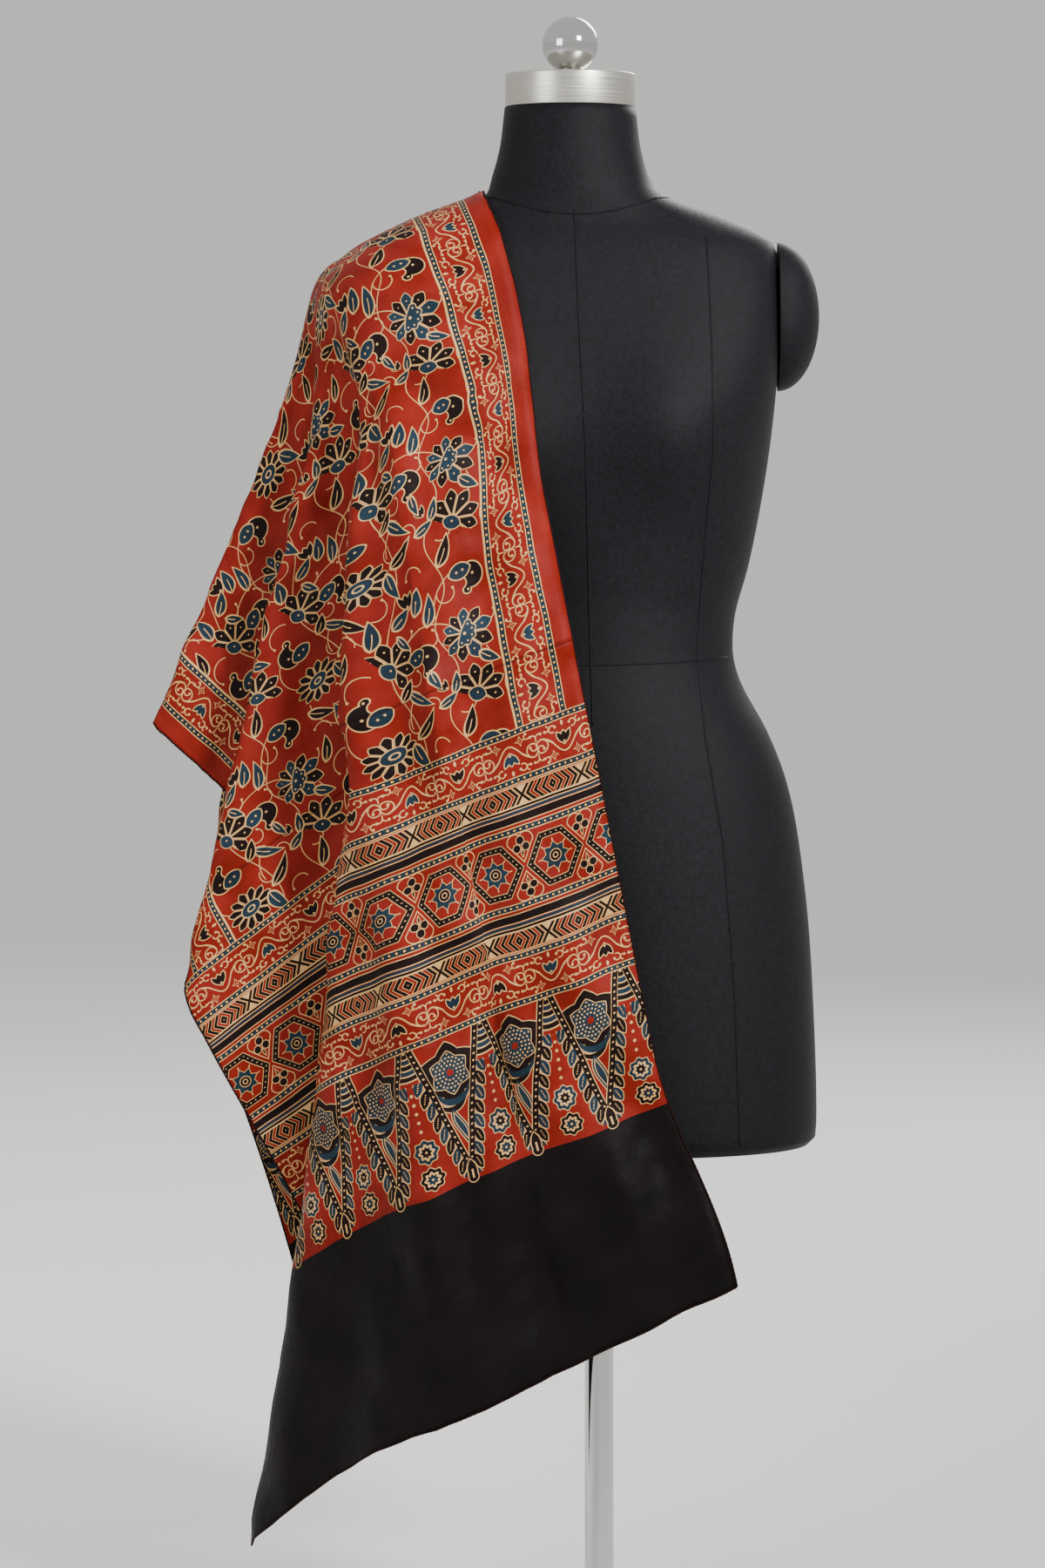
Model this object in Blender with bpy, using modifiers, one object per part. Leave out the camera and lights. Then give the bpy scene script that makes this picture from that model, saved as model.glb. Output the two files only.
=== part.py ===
"""Ajrakh stole hanging over one shoulder of a plain dress form.

The stole is one rectangle of cloth. It lies on the form's shoulder at about half its length, so that one half hangs
in front and the other behind. The cloth that reaches past the shoulder has nothing under it and falls in deep folds,
whose lines all run out from the end of the shoulder. Metres, +Z up, +X to the right as seen from in front, and the
front of the form looks along -Y. The origin is on the floor, under the middle of the neck.
"""

from math import cos, pi, radians, sin

import bmesh
import bpy
import numpy as np

# The stole: its cut, and the line across it that lies along the shoulder.
STOLE_WIDTH = 0.55
STOLE_FRONT = 0.990  # from the shoulder line down to the front hem
STOLE_BACK = 0.940  # from the shoulder line down to the back hem
CLOTH_THICKNESS = 0.002
SHOULDER_PART = 0.126  # how much of the width lies between the neck and the end of the shoulder
SHOULDER_COLUMNS = 5  # across the part that lies between the neck and the shoulder's end
LINES_PER_FOLD = 4  # lines out from the shoulder's end for each row of the fold table
LINE_STEPS = 32  # along each of those lines

# Where it lies: the end of the shoulder line, and the rounding of the cloth over it.
SHOULDER_END = (-0.190, 0.0, 1.2045)
SHOULDER_SLOPE = radians(20.5)
ROUNDING_ALONG = 0.066  # over the shoulder, from front to back
ROUNDING_END = 0.033  # over the shoulder's end
END_SPREAD = 0.33  # beyond that rounding the cloth stands out by this share of its length
END_BEND, END_BEND_RADIUS = 0.010, 0.032  # the shoulder line bends down at its end
CAP_START, CAP_END = 0.03, 0.26  # the cloth turns from lying on the shoulder to hanging between these
CLEARANCE = 0.0062  # from the middle of the cloth to the form

# How it hangs. The weave is skewed by the cloth's weight, less so behind.
WEFT_SLOPE, BACK_WEFT_SLOPE = radians(20.5), radians(12.0)
EYE = (-0.041, -4.0, 1.040)  # the leans and slopes are as they are seen from here
CORNER_SWING, CORNER_LIFT = 0.027, 0.026  # how the front corner at the neck's side swings out
CORNER_START = 0.74
FOLD_NEAR, FOLD_FAR = 0.45, 1.05  # distances from the shoulder's end at which the fold table is read
FOLD_DEPTH_START = 0.20  # the cloth has its full depth from this distance
FOLD_ROUNDING = radians(2.6)

# One row for each line that runs out from the shoulder's end, in order from the front round to the back. flat is
# its angle from the length of the flat cloth. lean is its angle from straight down, to the neck, as it hangs.
# Angles are in degrees, and each is given near the shoulder and far from it. Depth is measured to the back.
FOLDS = (
    # name, flat near, flat far, lean near, lean far, depth near, depth far, stretch
    ("front_panel", 0, 0, 11.5, 11.5, -0.145, -0.134, 1.000),
    ("front_middle", 7, 12, 4.9, 0.9, -0.138, -0.120, 1.025),
    ("front_edge", 12.5, 23.8, -1.7, -4.9, -0.115, 0.010, 1.042),
    ("front_inside", 21, 30, 6.0, -0.5, -0.078, 0.030, 1.030),
    ("middle_start", 29, 36, -0.9, -6.5, -0.052, 0.005, 1.028),
    ("middle_edge", 42, 43, -13.6, -13.6, -0.036, -0.020, 1.028),
    ("middle_inside", 52.5, 53, -4.2, -4.2, -0.010, -0.008, 1.015),
    ("outer_start", 62.7, 62.7, -12.7, -12.7, 0.006, 0.006, 1.005),
    ("outer_edge", 73.9, 74, -23.3, -23.3, 0.014, 0.014, 1.000),
    ("side_inside", 90, 90, -8.2, -8.2, 0.036, 0.036, 1.000),
    ("back_outer_edge", 104, 104, -20.5, -20.5, 0.054, 0.054, 1.000),
    ("back_outer_inside", 124, 124, -3.0, -3.0, 0.074, 0.078, 1.000),
    ("back_middle_edge", 138, 137, -14.0, -10.0, 0.088, 0.095, 1.000),
    ("back_middle_inside", 160, 157, 3.0, 0.0, 0.100, 0.105, 1.000),
    ("back_edge", 170, 166, -4.0, -3.5, 0.112, 0.112, 1.000),
    ("back_panel", 180, 180, 6.5, 6.5, 0.118, 0.118, 1.000),
)

# The dress form, by level sections from its base to the top of the neck.
FORM = (
    # height, centre, half width, front, back, squareness
    (0.437, 0.025, 0.180, 0.106, 0.102, 2.3),
    (0.443, 0.025, 0.186, 0.111, 0.107, 2.3),
    (0.463, 0.025, 0.187, 0.112, 0.109, 2.3),
    (0.560, 0.023, 0.186, 0.113, 0.114, 2.3),
    (0.655, 0.021, 0.181, 0.113, 0.118, 2.25),
    (0.744, 0.019, 0.168, 0.110, 0.110, 2.2),
    (0.789, 0.017, 0.153, 0.106, 0.099, 2.15),
    (0.834, 0.015, 0.131, 0.100, 0.086, 2.1),
    (0.860, 0.014, 0.126, 0.097, 0.081, 2.1),
    (0.890, 0.013, 0.129, 0.097, 0.080, 2.1),
    (0.930, 0.010, 0.143, 0.101, 0.084, 2.2),
    (0.990, 0.007, 0.158, 0.109, 0.093, 2.3),
    (1.045, 0.004, 0.169, 0.113, 0.101, 2.7),
    (1.100, 0.000, 0.1775, 0.106, 0.105, 3.5),
    (1.150, 0.000, 0.178, 0.094, 0.102, 3.8),
    (1.190, 0.000, 0.1775, 0.081, 0.095, 3.2),
    (1.2100, 0.005, 0.169, 0.073, 0.088, 2.6),
    (1.2200, 0.008, 0.152, 0.067, 0.080, 2.3),
    (1.2300, 0.008, 0.129, 0.062, 0.073, 2.1),
    (1.2400, 0.008, 0.100, 0.061, 0.068, 2.0),
    (1.2480, 0.006, 0.080, 0.061, 0.066, 2.0),
    (1.2560, 0.002, 0.072, 0.060, 0.064, 2.0),
    (1.2680, 0.000, 0.067, 0.060, 0.062, 2.0),
    (1.2900, 0.000, 0.061, 0.059, 0.060, 2.0),
    (1.3260, 0.000, 0.0565, 0.0565, 0.0565, 2.0),
)
FORM_SIDES = 44
BUST_HEIGHT = 1.045
BUST_SPACING = 0.086
BUST_RISE = 0.020
BUST_WIDTH = 0.052
BUST_TALL = 0.060

# The stumps of the arms, each on the flat armhole at the form's side.
ARMHOLE = 0.1785
STUMP_REACH = 0.034
STUMP_HEIGHT, COVERED_STUMP_HEIGHT = 1.146, 1.122
STUMP_HALF_DEPTH = 0.046
STUMP_HALF_HEIGHT = 0.064

# The neck's cap with its ball, and the stand.
CAP_RADIUS = 0.056
CAP_BASE, CAP_TOP = 1.3263, 1.3550
CAP_EDGE = 0.0012
BALL_RADIUS = 0.0243
BALL_CENTRE = 1.3805
COLLAR_RADIUS = 0.011
POLE_RADIUS = 0.0125
POLE_X = 0.025
FLANGE_RADIUS, FLANGE_THICKNESS = 0.045, 0.006
FOOT_RADIUS, FOOT_THICKNESS = 0.175, 0.009
HUB_RADIUS, HUB_HEIGHT = 0.028, 0.034
TOUCH_GAP = 0.0003


def smoothstep(x):
    x = np.clip(x, 0.0, 1.0)
    return x * x * (3.0 - 2.0 * x)


def bust(across, height):
    """How far the bust stands out of the plain section."""
    sides = sum(np.exp(-(((across - side * BUST_SPACING) / BUST_WIDTH) ** 2)) for side in (-1, 1))
    return BUST_RISE * sides * np.exp(-(((height - BUST_HEIGHT) / BUST_TALL) ** 2))


def lay_on_shoulder(along, down):
    """Cloth that lies on the shoulder. along is measured from the shoulder's end to the neck, down to the front."""
    distance = np.where(along > 0, np.abs(down), np.hypot(along, down))
    aside = np.where(along > 0, 0.0, -along / np.maximum(distance, 1e-9))
    radius = ROUNDING_ALONG + (ROUNDING_END - ROUNDING_ALONG) * aside**2
    turn = np.minimum(distance / radius, pi / 2)
    drop = radius * (1 - np.cos(turn)) + np.maximum(distance - radius * pi / 2, 0.0)
    outward = radius * np.sin(turn) + END_SPREAD * aside**2 * np.maximum(distance - radius * pi / 2, 0.0)
    bend = END_BEND * np.exp(-(np.hypot(along, down) ** 2) / END_BEND_RADIUS**2)
    tilt = SHOULDER_SLOPE * (1 - aside)
    x = np.maximum(along, 0.0) * cos(SHOULDER_SLOPE) - outward * aside + drop * np.sin(tilt)
    y = -outward * down / np.maximum(distance, 1e-9)
    z = np.maximum(along, 0.0) * sin(SHOULDER_SLOPE) - drop * np.cos(tilt) - bend
    return x, y, z


def fold_values(angle, distance):
    """Lean, depth and stretch of the cloth at an angle and a distance from the shoulder's end."""
    share = np.clip((distance - FOLD_NEAR) / (FOLD_FAR - FOLD_NEAR), 0.0, 1.0)
    rows = np.array([row[1:] for row in FOLDS])
    flat, lean, depth = (rows[:, i : i + 1] + (rows[:, i + 1 : i + 2] - rows[:, i : i + 1]) * share for i in (0, 2, 4))
    flat, lean, stretch = np.radians(flat), np.radians(lean), rows[:, 6]
    place = np.arange(len(angle))
    offsets = np.linspace(-1.0, 1.0, 9)
    weights = 1.0 - np.abs(offsets) * 0.9
    totals = np.zeros((3, len(angle)))
    for offset, weight in zip(offsets, weights / weights.sum()):
        at = np.clip(angle + offset * FOLD_ROUNDING, 0.0, pi)
        row = np.clip((flat <= at).sum(axis=0) - 1, 0, len(FOLDS) - 2)
        part = (at - flat[row, place]) / (flat[row + 1, place] - flat[row, place])
        middle = 2 * part - 1
        deep = 0.5 + 0.5 * middle * (0.35 + 0.65 * middle**2)
        totals[0] += weight * (lean[row, place] + part * (lean[row + 1, place] - lean[row, place]))
        totals[1] += weight * (depth[row, place] + deep * (depth[row + 1, place] - depth[row, place]))
        totals[2] += weight * (stretch[row] + part * (stretch[row + 1] - stretch[row]))
    return totals


def hang_from_shoulder(along, down):
    """Cloth that hangs. The panel under the shoulder keeps its width, and the rest goes round the shoulder's end."""
    distance = np.where(along > 0, np.abs(down), np.hypot(along, down))
    angle = np.where(along > 0, 0.0, np.arctan2(-along, np.abs(down)))
    angle = np.where(down < 0, pi - angle, angle)
    lean, depth, stretch = fold_values(angle, distance)
    corner = smoothstep((down - CORNER_START) / (STOLE_FRONT - CORNER_START))
    corner = corner * np.clip((along + 0.10) / (SHOULDER_PART + 0.10), 0.0, 1.0)
    across = np.maximum(along, 0.0) + corner * CORNER_SWING
    slope = np.where(down < 0, BACK_WEFT_SLOPE, WEFT_SLOPE)
    length = distance * stretch
    x = across * np.cos(slope) + length * np.sin(lean)
    z = across * np.sin(slope) - length * np.cos(lean) + corner * CORNER_LIFT
    y = depth * np.sin(pi / 2 * np.minimum(distance / FOLD_DEPTH_START, 1.0))
    return x, y, z


def stole_point(along, down):
    """Where the flat cloth's points go. along is from the shoulder's end to the neck, down is below zero behind."""
    distance = np.where(along > 0, np.abs(down), np.hypot(along, down))
    share = smoothstep((distance - CAP_START) / (CAP_END - CAP_START))
    lying = lay_on_shoulder(along, down)
    hanging = hang_from_shoulder(along, down)
    x, y, z = (at + a * (1 - share) + b * share for at, a, b in zip(SHOULDER_END, lying, hanging))
    nearness = (y - EYE[1]) / -EYE[1]
    return EYE[0] + (x - EYE[0]) * nearness, y, EYE[2] + (z - EYE[2]) * nearness


def fold_line(row, steps):
    """Points of the flat cloth along a line of the fold table, from the shoulder's end to the cloth's edge."""
    table = np.array([entry[1:3] for entry in FOLDS])
    lower = min(int(row), len(FOLDS) - 2)
    near, far = np.radians(table[lower] + (table[lower + 1] - table[lower]) * (row - lower))
    distances = np.linspace(0.0, 1.3, 1301)
    share = np.clip((distances - FOLD_NEAR) / (FOLD_FAR - FOLD_NEAR), 0.0, 1.0)
    angle = near + (far - near) * share
    along, down = -distances * np.sin(angle), distances * np.cos(angle)
    inside = (-along <= STOLE_WIDTH - SHOULDER_PART) & (down <= STOLE_FRONT) & (down >= -STOLE_BACK)
    reach = distances[inside].max()
    at = reach * np.linspace(0.0, 1.0, steps + 1) ** 1.25
    return np.interp(at, distances, along), np.interp(at, distances, down)


def material(name, colour, roughness, metallic=0.0):
    made = bpy.data.materials.new(name)
    made.use_nodes = True
    shader = made.node_tree.nodes["Principled BSDF"]
    shader.inputs["Base Color"].default_value = (*colour, 1.0)
    shader.inputs["Roughness"].default_value = roughness
    shader.inputs["Metallic"].default_value = metallic
    return made


def add(mesh, name, collection, finish):
    piece = bpy.data.objects.new(name, mesh)
    piece.data.materials.append(finish)
    collection.objects.link(piece)
    return piece


def mesh_from(bm, name):
    mesh = bpy.data.meshes.new(name)
    bm.to_mesh(mesh)
    bm.free()
    return mesh


def stole(collection, finish, body):
    """Lines of points out from the shoulder's end, joined, kept clear of the form, with the cloth's thickness."""
    lines = [fold_line(i / LINES_PER_FOLD, LINE_STEPS) for i in range((len(FOLDS) - 1) * LINES_PER_FOLD + 1)]
    for column in range(1, SHOULDER_COLUMNS + 1):
        along = SHOULDER_PART * column / SHOULDER_COLUMNS
        lines.insert(0, (lines[0][0] * 0 + along, fold_line(0, LINE_STEPS)[1]))
        lines.append((lines[0][0] * 0 + along, fold_line(len(FOLDS) - 1, LINE_STEPS)[1]))
    bm = bmesh.new()
    placed = [[bm.verts.new(place) for place in np.column_stack(stole_point(*line))] for line in lines]
    for before, after in zip(placed, placed[1:]):
        for step in range(LINE_STEPS):
            bm.faces.new((before[step], before[step + 1], after[step + 1], after[step]))
    bmesh.ops.remove_doubles(bm, verts=bm.verts, dist=1e-6)
    bmesh.ops.recalc_face_normals(bm, faces=bm.faces)
    piece = add(mesh_from(bm, "stole"), "stole", collection, finish)
    piece.data.shade_smooth()
    clear = piece.modifiers.new("clear_of_form", "SHRINKWRAP")
    clear.target = body
    clear.wrap_method = "NEAREST_SURFACEPOINT"
    clear.wrap_mode = "OUTSIDE"
    clear.offset = CLEARANCE
    thick = piece.modifiers.new("thickness", "SOLIDIFY")
    thick.thickness = CLOTH_THICKNESS
    thick.offset = 0.0
    return piece


def form(collection, finish):
    """The form's sections joined from the base to the neck, with the base and the neck closed flat."""
    bm = bmesh.new()
    rings = []
    for height, centre, half_width, front, back, squareness in FORM:
        ring = []
        for step in range(FORM_SIDES):
            turn = 2 * pi * step / FORM_SIDES
            power = 2.0 / squareness
            x = half_width * abs(cos(turn)) ** power * (1 if cos(turn) > 0 else -1)
            reach = abs(sin(turn)) ** power
            if sin(turn) < 0:
                y = -(front + float(bust(x, height))) * reach
            else:
                y = back * reach
            ring.append(bm.verts.new((centre + x, y, height)))
        rings.append(ring)
    for below, above in zip(rings, rings[1:]):
        for step in range(FORM_SIDES):
            after = (step + 1) % FORM_SIDES
            bm.faces.new((below[step], below[after], above[after], above[step]))
    bm.faces.new(list(reversed(rings[0])))
    bm.faces.new(rings[-1])
    piece = add(mesh_from(bm, "dress_form"), "dress_form", collection, finish)
    piece.data.shade_smooth()
    return piece


def arm_stump(name, side, height, collection, finish):
    """Half of a flattened ball on the armhole's flat side."""
    bm = bmesh.new()
    bmesh.ops.create_uvsphere(bm, u_segments=24, v_segments=12, radius=1.0)
    bmesh.ops.scale(bm, verts=bm.verts, vec=(STUMP_REACH * 1.05, STUMP_HALF_DEPTH, STUMP_HALF_HEIGHT))
    bmesh.ops.bisect_plane(
        bm,
        geom=bm.verts[:] + bm.edges[:] + bm.faces[:],
        plane_co=(0, 0, 0),
        plane_no=(-side, 0, 0),
        clear_outer=True,
    )
    edges = [edge for edge in bm.edges if edge.is_boundary]
    bmesh.ops.contextual_create(bm, geom=edges)
    bmesh.ops.recalc_face_normals(bm, faces=bm.faces)
    piece = add(mesh_from(bm, name), name, collection, finish)
    piece.location = (side * (ARMHOLE + TOUCH_GAP), 0, height)
    return piece


def turned(name, profile, x, collection, finish, steps=48):
    """A profile of (radius, height) points, from the top down, turned about an upright axis at x."""
    bm = bmesh.new()
    points = [bm.verts.new((radius, 0, height)) for radius, height in profile]
    for upper, lower in zip(points, points[1:]):
        bm.edges.new((upper, lower))
    piece = add(mesh_from(bm, name), name, collection, finish)
    piece.location = (x, 0, 0)
    screw = piece.modifiers.new("turning", "SCREW")
    screw.steps = screw.render_steps = steps
    screw.use_merge_vertices = True
    screw.merge_threshold = 0.00005
    return piece


def cap_profile():
    return (
        (0, CAP_TOP),
        (CAP_RADIUS - CAP_EDGE, CAP_TOP),
        (CAP_RADIUS, CAP_TOP - CAP_EDGE),
        (CAP_RADIUS, CAP_BASE),
        (0, CAP_BASE),
    )


def ball_profile():
    """A ball, cut off at the collar that it stands on."""
    points = [(0, BALL_CENTRE + BALL_RADIUS)]
    for step in range(1, 17):
        turn = pi * step / 18
        points.append((BALL_RADIUS * sin(turn), BALL_CENTRE + BALL_RADIUS * cos(turn)))
    foot = CAP_TOP + TOUCH_GAP
    return (*points, (COLLAR_RADIUS, points[-1][1]), (COLLAR_RADIUS, foot), (0, foot))


def pole_profile():
    top = FORM[0][0] - TOUCH_GAP
    hub_top = FOOT_THICKNESS + TOUCH_GAP + HUB_HEIGHT
    return (
        (0, top),
        (FLANGE_RADIUS, top),
        (FLANGE_RADIUS, top - FLANGE_THICKNESS),
        (POLE_RADIUS, top - FLANGE_THICKNESS),
        (POLE_RADIUS, hub_top),
        (HUB_RADIUS * 0.8, hub_top),
        (HUB_RADIUS, hub_top - 0.008),
        (HUB_RADIUS, FOOT_THICKNESS + TOUCH_GAP),
        (0, FOOT_THICKNESS + TOUCH_GAP),
    )


def foot_profile():
    edge = 0.004
    return (
        (0, FOOT_THICKNESS),
        (FOOT_RADIUS - edge, FOOT_THICKNESS),
        (FOOT_RADIUS, FOOT_THICKNESS - edge),
        (FOOT_RADIUS, 0),
        (0, 0),
    )


def build():
    for old in list(bpy.data.objects):
        bpy.data.objects.remove(old)
    collection = bpy.data.collections.new("ajrakh_stole_on_dress_form")
    bpy.context.scene.collection.children.link(collection)
    dyed = material("madder_red_cloth", (0.40, 0.03, 0.015), 0.65)
    jersey = material("black_jersey", (0.010, 0.011, 0.013), 0.8)
    steel = material("brushed_steel", (0.62, 0.58, 0.50), 0.3, 1.0)
    chrome = material("polished_steel", (0.75, 0.75, 0.74), 0.08, 1.0)
    body = form(collection, jersey)
    stole(collection, dyed, body)
    arm_stump("arm_stump_left", -1, COVERED_STUMP_HEIGHT, collection, jersey)
    arm_stump("arm_stump_right", 1, STUMP_HEIGHT, collection, jersey)
    turned("neck_cap", cap_profile(), 0.0, collection, steel)
    turned("neck_ball", ball_profile(), 0.0, collection, chrome, steps=32)
    turned("stand_pole", pole_profile(), POLE_X, collection, chrome, steps=32)
    turned("stand_foot", foot_profile(), POLE_X, collection, chrome)


build()
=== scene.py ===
# %% [markdown]
# # An ajrakh stole on a dress form
# Ajrakh is cotton that is printed by hand with carved blocks, first with a resist that keeps the lines
# cream, then with iron black, indigo and madder red. Here one stole hangs over the shoulder of a black
# dress form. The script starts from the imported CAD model, which gives the size and place of every part, and
# builds the looks on it.

# %% Load the frame and measure it
from functools import reduce
from math import cos, degrees, pi, radians, sin

import bmesh
import bpy
import numpy as np
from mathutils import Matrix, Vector
from mathutils.bvhtree import BVHTree


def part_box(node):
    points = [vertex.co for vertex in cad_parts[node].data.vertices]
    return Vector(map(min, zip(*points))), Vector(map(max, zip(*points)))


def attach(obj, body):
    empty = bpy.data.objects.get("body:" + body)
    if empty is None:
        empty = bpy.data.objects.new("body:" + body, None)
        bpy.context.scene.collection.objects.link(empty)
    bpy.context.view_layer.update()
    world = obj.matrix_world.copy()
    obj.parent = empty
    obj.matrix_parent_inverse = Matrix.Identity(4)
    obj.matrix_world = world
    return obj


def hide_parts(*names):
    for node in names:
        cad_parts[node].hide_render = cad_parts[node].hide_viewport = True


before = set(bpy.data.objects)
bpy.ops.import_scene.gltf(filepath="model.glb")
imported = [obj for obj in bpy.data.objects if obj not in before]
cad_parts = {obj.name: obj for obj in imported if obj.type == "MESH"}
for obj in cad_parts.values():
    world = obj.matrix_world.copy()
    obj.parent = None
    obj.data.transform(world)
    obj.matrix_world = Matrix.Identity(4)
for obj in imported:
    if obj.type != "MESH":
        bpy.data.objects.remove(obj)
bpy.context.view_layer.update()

# %% [markdown]
# ## Helpers for materials
# Colours are written as sRGB hex values, as a colour picker shows them, and turned to the linear values
# that Cycles wants. One function adds a node and links it. A printed pattern needs hundreds of small sums,
# so a number that varies over the cloth gets a small class, which lets a motif be written as ordinary
# arithmetic.


# %% Colours and nodes
def linear(hex_colour):
    """An sRGB hex colour as linear RGBA."""
    parts = [int(hex_colour[i : i + 2], 16) / 255 for i in (1, 3, 5)]
    return (*(p / 12.92 if p <= 0.04045 else ((p + 0.055) / 1.055) ** 2.4 for p in parts), 1.0)


def node(tree, kind, inputs=None, **settings):
    """Adds a shader node with its settings, and links or sets its inputs, given by place or name."""
    made = tree.nodes.new("ShaderNode" + kind)
    for name, value in settings.items():
        setattr(made, name, value)
    for place, value in (inputs or {}).items():
        value = value.socket if isinstance(value, Number) else value
        if isinstance(value, bpy.types.NodeSocket):
            tree.links.new(value, made.inputs[place])
        else:
            made.inputs[place].default_value = value
    return made


class Number:
    """A number that varies over a surface. Arithmetic on it adds Math nodes."""

    def __init__(self, tree, socket):
        self.tree, self.socket = tree, socket

    def math(self, operation, *others):
        made = node(self.tree, "Math", dict(enumerate((self, *others))), operation=operation)
        return Number(self.tree, made.outputs[0])

    def __add__(self, other):
        return self.math("ADD", other)

    def __radd__(self, other):
        return self.math("ADD", other)

    def __sub__(self, other):
        return self.math("SUBTRACT", other)

    def __rsub__(self, other):
        return self.math("MULTIPLY_ADD", -1.0, other)

    def __mul__(self, other):
        return self.math("MULTIPLY", other)

    def __rmul__(self, other):
        return self.math("MULTIPLY", other)

    def __neg__(self):
        return self.math("MULTIPLY", -1.0)

    def __abs__(self):
        return self.math("ABSOLUTE")

    def __lt__(self, other):
        return self.math("LESS_THAN", other)

    def __gt__(self, other):
        return self.math("GREATER_THAN", other)

    def __or__(self, other):
        return self.math("MAXIMUM", other)

    def __and__(self, other):
        return self.math("MINIMUM", other)


def new_material(name, **sockets):
    """A Principled material with plain values on its sockets, and its node tree and its shader."""
    material = bpy.data.materials.new(name)
    material.use_nodes = True
    shader = material.node_tree.nodes["Principled BSDF"]
    for socket, value in sockets.items():
        shader.inputs[socket.replace("_", " ")].default_value = value
    return material, material.node_tree, shader


# %% [markdown]
# ## The drape
# The stole is 0.55 m wide and 2.05 m long. It lies on the shoulder at about half its length. The part of
# its width that reaches past the shoulder has nothing to lie on, so it falls in folds, and every fold
# starts at the one point where the shoulder ends. That makes the hanging cloth a set of folded cones, and
# it is why the folds are given here by their angle in the flat cloth and their lean as it hangs. A
# simulation would find folds of its own, so the main ones are listed in a table.

# %% The cut of the cloth and its folds
STOLE_WIDTH, STOLE_FRONT, STOLE_BACK = 0.55, 0.990, 0.940  # in metres, as it hangs down in front and behind
TAKEN_FRONT, TAKEN_BACK = 0.09, 0.03  # length taken up over the chest and the shoulder
STOLE_LENGTH = STOLE_FRONT + STOLE_BACK + TAKEN_FRONT + TAKEN_BACK
SHOULDER_PART = 0.126  # as much of the width as lies on the shoulder
SHOULDER_END = (-0.190, 0.0, 1.2045)  # the point where every fold starts
SHOULDER_SLOPE = radians(20.5)
ROUNDING_ALONG, ROUNDING_END = 0.066, 0.033  # radius of the bend over the shoulder, and round its end
END_SPREAD, END_BEND, END_BEND_RADIUS = 0.33, 0.010, 0.032  # how it stands off and dips at the end
CAP_START, CAP_END = 0.03, 0.26  # distances between which it goes from lying to hanging
WEFT_SLOPE, BACK_WEFT_SLOPE = radians(20.5), radians(12.0)  # of the threads across the panels
EYE = (-0.041, -4.0, 1.040)  # the camera's place
CORNER_SWING, CORNER_LIFT, CORNER_START = 0.027, 0.026, 0.74  # of the front corner near the form's middle
FOLD_NEAR, FOLD_FAR, FOLD_DEPTH_START = 0.45, 1.05, 0.20  # distances that the table below refers to
FOLD_ROUNDING = radians(2.6)  # half the width of a fold's soft edge
CLEARANCE = 0.0062  # from the form's skin to the middle of the sheet

FOLDS = (
    # name, flat angle near and far, lean near and far, depth near and far, stretch; angles in degrees
    ("front_panel", 0, 0, 11.5, 11.5, -0.145, -0.134, 1.000),
    ("front_middle", 7, 12, 4.9, 0.9, -0.138, -0.120, 1.025),
    ("front_edge", 12.5, 23.8, -1.7, -4.9, -0.115, 0.010, 1.042),
    ("front_inside", 21, 30, 6.0, -0.5, -0.078, 0.030, 1.030),
    ("middle_start", 29, 36, -0.9, -6.5, -0.052, 0.005, 1.028),
    ("middle_edge", 42, 43, -13.6, -13.6, -0.036, -0.020, 1.028),
    ("middle_inside", 52.5, 53, -4.2, -4.2, -0.010, -0.008, 1.015),
    ("outer_start", 62.7, 62.7, -12.7, -12.7, 0.006, 0.006, 1.005),
    ("outer_edge", 73.9, 74, -23.3, -23.3, 0.014, 0.014, 1.000),
    ("side_inside", 90, 90, -8.2, -8.2, 0.036, 0.036, 1.000),
    ("back_outer_edge", 104, 104, -20.5, -20.5, 0.054, 0.054, 1.000),
    ("back_outer_inside", 124, 124, -3.0, -3.0, 0.074, 0.078, 1.000),
    ("back_middle_edge", 138, 137, -14.0, -10.0, 0.088, 0.095, 1.000),
    ("back_middle_inside", 160, 157, 3.0, 0.0, 0.100, 0.105, 1.000),
    ("back_edge", 170, 166, -4.0, -3.5, 0.112, 0.112, 1.000),
    ("back_panel", 180, 180, 6.5, 6.5, 0.118, 0.118, 1.000),
)
print(len(FOLDS), "fold lines leave the shoulder's end")


# %% Where the flat cloth goes
def smoothstep(x):
    """Eases from 0 to 1 as x does."""
    x = np.clip(x, 0.0, 1.0)
    return x * x * (3.0 - 2.0 * x)


def lay_on_shoulder(along, down):
    """Cloth that lies on the rounded shoulder."""
    distance = np.where(along > 0, np.abs(down), np.hypot(along, down))
    aside = np.where(along > 0, 0.0, -along / np.maximum(distance, 1e-9))
    radius = ROUNDING_ALONG + (ROUNDING_END - ROUNDING_ALONG) * aside**2
    turn = np.minimum(distance / radius, pi / 2)
    drop = radius * (1 - np.cos(turn)) + np.maximum(distance - radius * pi / 2, 0.0)
    outward = radius * np.sin(turn) + END_SPREAD * aside**2 * np.maximum(distance - radius * pi / 2, 0.0)
    bend = END_BEND * np.exp(-(np.hypot(along, down) ** 2) / END_BEND_RADIUS**2)
    tilt = SHOULDER_SLOPE * (1 - aside)
    x = np.maximum(along, 0.0) * cos(SHOULDER_SLOPE) - outward * aside + drop * np.sin(tilt)
    y = -outward * down / np.maximum(distance, 1e-9)
    z = np.maximum(along, 0.0) * sin(SHOULDER_SLOPE) - drop * np.cos(tilt) - bend
    return x, y, z


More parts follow.
